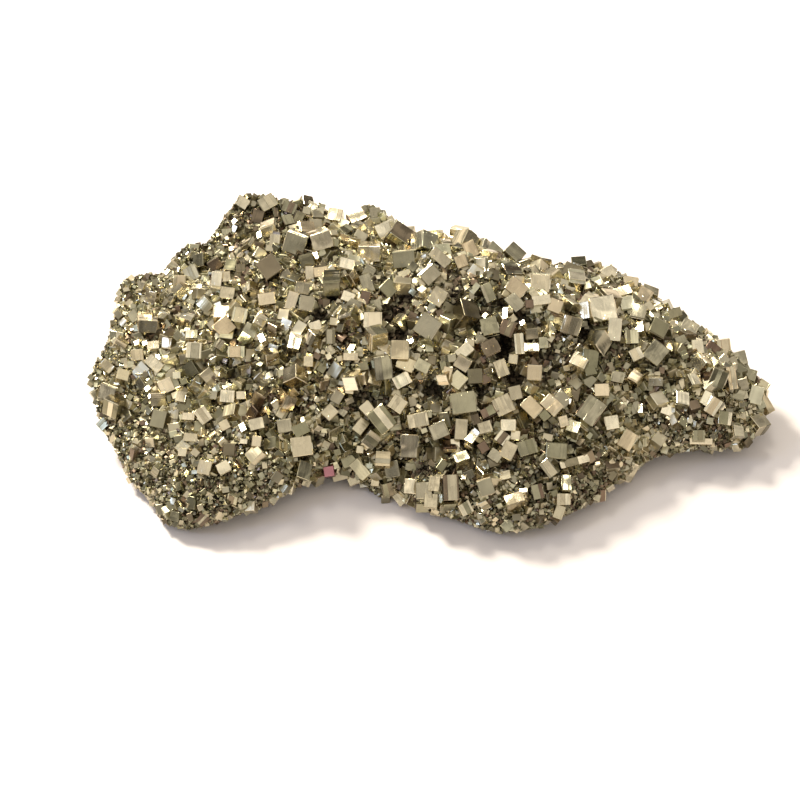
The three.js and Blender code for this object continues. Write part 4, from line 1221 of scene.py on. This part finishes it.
# %% Tones, stains, and dirt with painted shade
TONES = [
    (0.0, BROWN), (0.1, OLIVE), (0.22, DULL), (0.4, BRASS), (0.6, PALE), (0.75, WARM_BRASS),
    (0.88, GREENISH), (1.0, PALE)]
TARNISHED_TONES = [
    (0.0, BROWN), (0.15, OLIVE), (0.4, DULL), (0.65, BRASS), (0.8, GREENISH), (0.92, DULL),
    (1.0, PALE)]
DRUSE_TONES = [
    (0.0, BROWN), (0.3, DARK_OLIVE), (0.6, OLIVE), (0.8, DULL), (0.93, BRASS), (1.0, PALE)]
STAIN_MM = 1.8
STAIN_FROM, STAIN_TO, STAIN_DARKEST = 0.3, 0.65, 0.9
DIRT_AND_SHADE_FADE_MM = 1.4
DIRT_AND_SHADE_COVER = 0.9
DIRT_AND_SHADE_DULLS = 0.35
MIX_SHARE, MIX_A, MIX_B, MIX_RESULT = 0, 6, 7, 2


def dirt_and_shade_share(tree, dirt_and_shade_from):
    """How much of a place the dirt and painted shade cover, from the height in millimetres at which
    they begin.
    """
    height = add_node(tree, "Attribute", "Fac", attribute_name="height")
    return add_node(tree, "MapRange", "Result", {
        "Value": height, "From Min": dirt_and_shade_from - DIRT_AND_SHADE_FADE_MM, "From Max": dirt_and_shade_from,
        "To Min": DIRT_AND_SHADE_COVER, "To Max": 0.0})


def colour_with_dirt_and_shade(tree, plane, tones, dirt_and_shade):
    """The colour of a crystal's tone, with stains, and with dirt and painted shade in the hollows.
    """
    tone = add_node(tree, "Attribute", "Fac", attribute_name="tone")
    colour = add_node(tree, "ValToRGB", "Color", {"Fac": tone},
                      [(at, linear(shade)) for at, shade in tones])
    stain = add_node(tree, "TexNoise", "Fac", {
        "Vector": plane, "Scale": 1 / STAIN_MM, "Detail": 4.0, "Roughness": 0.6})
    shade = add_node(tree, "MapRange", "Result", {
        "Value": stain, "From Min": STAIN_FROM, "From Max": STAIN_TO, "To Min": STAIN_DARKEST})
    stained = add_node(tree, "Mix", MIX_RESULT, {MIX_SHARE: 1.0, MIX_A: colour, MIX_B: shade},
                       data_type="RGBA", blend_type="MULTIPLY")
    # Painted shade and dirt: towards the depths the colour turns to the dark colour of the hollows
    return add_node(tree, "Mix", MIX_RESULT, {
        MIX_SHARE: dirt_and_shade, MIX_A: stained, MIX_B: linear(DIRT_AND_SHADE)}, data_type="RGBA")


print("tones of a clean face:", [shade for _, shade in TONES])

# %% The kinds of pyrite
PYRITES = {
    # Tones, the height in millimetres at which dirt and painted shade begin, and the least and
    # greatest roughness.
    # Cube faces as they grew are bright, and their striations break a reflection into streaks.
    "striated pyrite": (TONES, -0.6, 0.12, 0.28),
    # A thin film of oxide makes the same faces darker, browner and a little duller.
    "tarnished pyrite": (TARNISHED_TONES, -0.6, 0.15, 0.36),
    # Crystals of half a millimetre are sparks or dark specks, and together they look rough.
    "druse of pyrite": (DRUSE_TONES, -0.7, 0.15, 0.42),
    # Pyrite that broke without crystal faces is dull and brown.
    "massive pyrite": ([(0.0, BROWN), (1.0, OLIVE)], 0.4, 0.35, 0.6),
    # One crystal has a film that gives it a rose cast.
    "rose tarnish": ([(0.0, ROSE), (1.0, ROSE)], -0.6, 0.2, 0.3),
}


def pyrite_material(name, tones, dirt_and_shade_from, sharpest, dullest):
    """A metal whose gloss follows the lustre of each crystal and is lost under the dirt and painted
    shade of the hollows.
    """
    material = bpy.data.materials.new(name)
    material.use_nodes = True
    tree = material.node_tree
    shader = tree.nodes["Principled BSDF"]
    shader.inputs["Metallic"].default_value = 1.0
    plane = add_node(tree, "UVMap", "UV", uv_map="striae")
    dirt_and_shade = dirt_and_shade_share(tree, dirt_and_shade_from)
    lustre = add_node(tree, "Attribute", "Fac", attribute_name="lustre")
    gloss = add_node(tree, "MapRange", "Result", {
        "Value": lustre, "To Min": sharpest, "To Max": dullest})
    dulled = add_node(tree, "Math", "Value", {0: dirt_and_shade, 1: DIRT_AND_SHADE_DULLS, 2: gloss},
                      operation="MULTIPLY_ADD")
    tree.links.new(colour_with_dirt_and_shade(tree, plane, tones, dirt_and_shade), shader.inputs["Base Color"])
    tree.links.new(dulled, shader.inputs["Roughness"])
    tree.links.new(face_relief(tree, plane), shader.inputs["Normal"])
    return material


materials = {name: pyrite_material(name, *look) for name, look in PYRITES.items()}
print("materials:", list(materials))

# %% [markdown]
# ## The pieces in place of the imported model
# All pieces together stand for the one solid of the imported model, and nothing on the specimen
# moves.

# %% Finish and body of each piece
FINISHES = {
    "large_cubes": "striated pyrite", "single_cubes": "striated pyrite",
    "rose_crystal": "rose tarnish", "medium_cubes": "tarnished pyrite",
    "small_cubes_1": "tarnished pyrite", "small_cubes_2": "tarnished pyrite",
    "druse_1": "druse of pyrite", "druse_2": "druse of pyrite", "massive_pyrite": "massive pyrite",
}
for piece in pieces:
    piece.data.materials.append(materials[FINISHES[piece.name]])
    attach(piece, BODY)
    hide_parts(NODE)
print("pieces:", [piece.name for piece in pieces])

# %% [markdown]
# ## A pale table
# The specimen lies on a sheet of white card. Card is matt: its fibres scatter the light, so it
# takes soft shadows and shows no reflection of the metal. The sheet is so large that its edge is
# out of sight in all but the lowest views.

# %% The table
TABLE_REACH = 30.0
OFF_WHITE = "#dad3cf"
CARD = {"Base Color": linear(OFF_WHITE), "Roughness": 0.7, "Specular IOR Level": 0.2}
table_mesh = bpy.data.meshes.new("table")
table_corners = [(x * TABLE_REACH, y * TABLE_REACH, 0) for x, y in AROUND]
table_mesh.from_pydata(table_corners, [], [(0, 1, 2, 3)])
table = placed("table", table_mesh)
card = bpy.data.materials.new("white card")
card.use_nodes = True
for name, value in CARD.items():
    card.node_tree.nodes["Principled BSDF"].inputs[name].default_value = value
table_mesh.materials.append(card)
print("table side in m:", 2 * TABLE_REACH)

# %% [markdown]
# ## Studio light
# Metal shows what is around it more than its own colour. The key lamp stands behind on the left and
# throws the shadow to the front right, a weak lamp hangs high behind, and a bluish one on the left
# stands for a window. The room is bright overhead and dark at the sides, so that faces which lean
# away turn brown.

# %% The lamps
WARM = (1.0, 0.95, 0.84)
COOL = (0.45, 0.6, 1.0)
LAMPS = [
    # name, direction, distance and radius in metres, watts and colour
    ("key", KEY_LAMP, 0.7, 0.08, 10.0, WARM),
    ("ceiling lamp", CEILING_LAMP, 0.8, 0.08, 1.4, WARM),
    ("window", WINDOW, 0.8, 0.1, 0.9, COOL),
]


def add_lamp(name, direction, distance, radius, watts, colour):
    """A round lamp that looks at the specimen."""
    light = bpy.data.lights.new(name, "AREA")
    light.shape = "DISK"
    light.size = 2 * radius
    light.energy = watts
    light.color = colour
    lamp = placed(name, light)
    toward = Vector(facing_from(*direction))
    lamp.location = toward * distance
    lamp.rotation_euler = toward.to_track_quat("Z", "Y").to_euler()


for row in LAMPS:
    add_lamp(*row)
print("lamps:", [row[0] for row in LAMPS])

# %% [markdown]
# A room that were even all round would make the metal look like plaster. So its light grows from
# the floor to the ceiling, soft patches stand for walls and furniture, and two glows surround the
# lamps.

# %% The room
# Height from straight down to straight up, and brightness
ROOM = [(0.0, 0.21), (0.52, 0.21), (0.6, 0.25), (0.68, 0.42), (0.8, 0.81), (0.9, 0.96), (1.0, 1.02)]
ROOM_TINT = (1.0, 0.94, 0.86, 1.0)
PATCHES_ACROSS = 5.5
PATCH_FROM, PATCH_TO = 0.4, 0.6
PATCH_DARK, PATCH_LIGHT = 0.55, 1.38
GLOWS = [
    # direction, strength and tightness
    (KEY_LAMP, 0.8, 20.0), ((0.0, 58.0), 0.28, 6.0),
]
room = bpy.data.worlds.new("room")
room.use_nodes = True
bpy.context.scene.world = room
tree = room.node_tree
toward = add_node(tree, "TexCoord", "Generated")
height_of = add_node(tree, "SeparateXYZ", "Z", {"Vector": toward})
share_up = add_node(tree, "MapRange", "Result", {"Value": height_of, "From Min": -1.0})
bright = add_node(tree, "ValToRGB", "Color", {"Fac": share_up},
                  [(at, (v, v, v, 1)) for at, v in ROOM])
uneven = add_node(tree, "TexNoise", "Fac", {
    "Vector": toward, "Scale": PATCHES_ACROSS, "Detail": 2.0, "Roughness": 0.5})
patches = add_node(tree, "MapRange", "Result", {
    "Value": uneven, "From Min": PATCH_FROM, "From Max": PATCH_TO, "To Min": PATCH_DARK,
    "To Max": PATCH_LIGHT})
sky = add_node(tree, "Math", "Value", {0: bright, 1: patches}, operation="MULTIPLY")
for direction, strength, tightness in GLOWS:
    near = add_node(tree, "VectorMath", "Value", {0: toward, 1: facing_from(*direction)},
                    operation="DOT_PRODUCT")
    above = add_node(tree, "Math", "Value", {0: near, 1: 0.0}, operation="MAXIMUM")
    halo = add_node(tree, "Math", "Value", {0: above, 1: tightness}, operation="POWER")
    sky = add_node(tree, "Math", "Value", {0: halo, 1: strength, 2: sky},
                   operation="MULTIPLY_ADD")
background = tree.nodes["Background"]
background.inputs["Color"].default_value = ROOM_TINT
tree.links.new(sky, background.inputs["Strength"])
print("room from", ROOM[0][1], "to", ROOM[-1][1])

# %% [markdown]
# ## The camera
# It looks down on the specimen from the front, from an arm's length. The view transform is the
# plain one, because the colours above are those that the eye should see.

# %% Camera and view
PICTURE_PX = 800
FOCAL_PX = 2268
SENSOR_MM = 36.0
NEAREST_M = 0.01
camera = placed("camera", bpy.data.cameras.new("camera"))
camera.data.sensor_width = SENSOR_MM
camera.data.lens = SENSOR_MM * FOCAL_PX / PICTURE_PX
camera.data.clip_start = NEAREST_M
sight = facing_from(0, VIEW_ELEVATION)
camera.location = (VIEW_AIM + TO_ORIGIN + sight * VIEW_DISTANCE) * MM
camera.rotation_euler = Vector(sight).to_track_quat("Z", "Y").to_euler()
bpy.context.scene.camera = camera
bpy.context.scene.view_settings.view_transform = "Standard"
print("lens in mm:", round(camera.data.lens, 1))
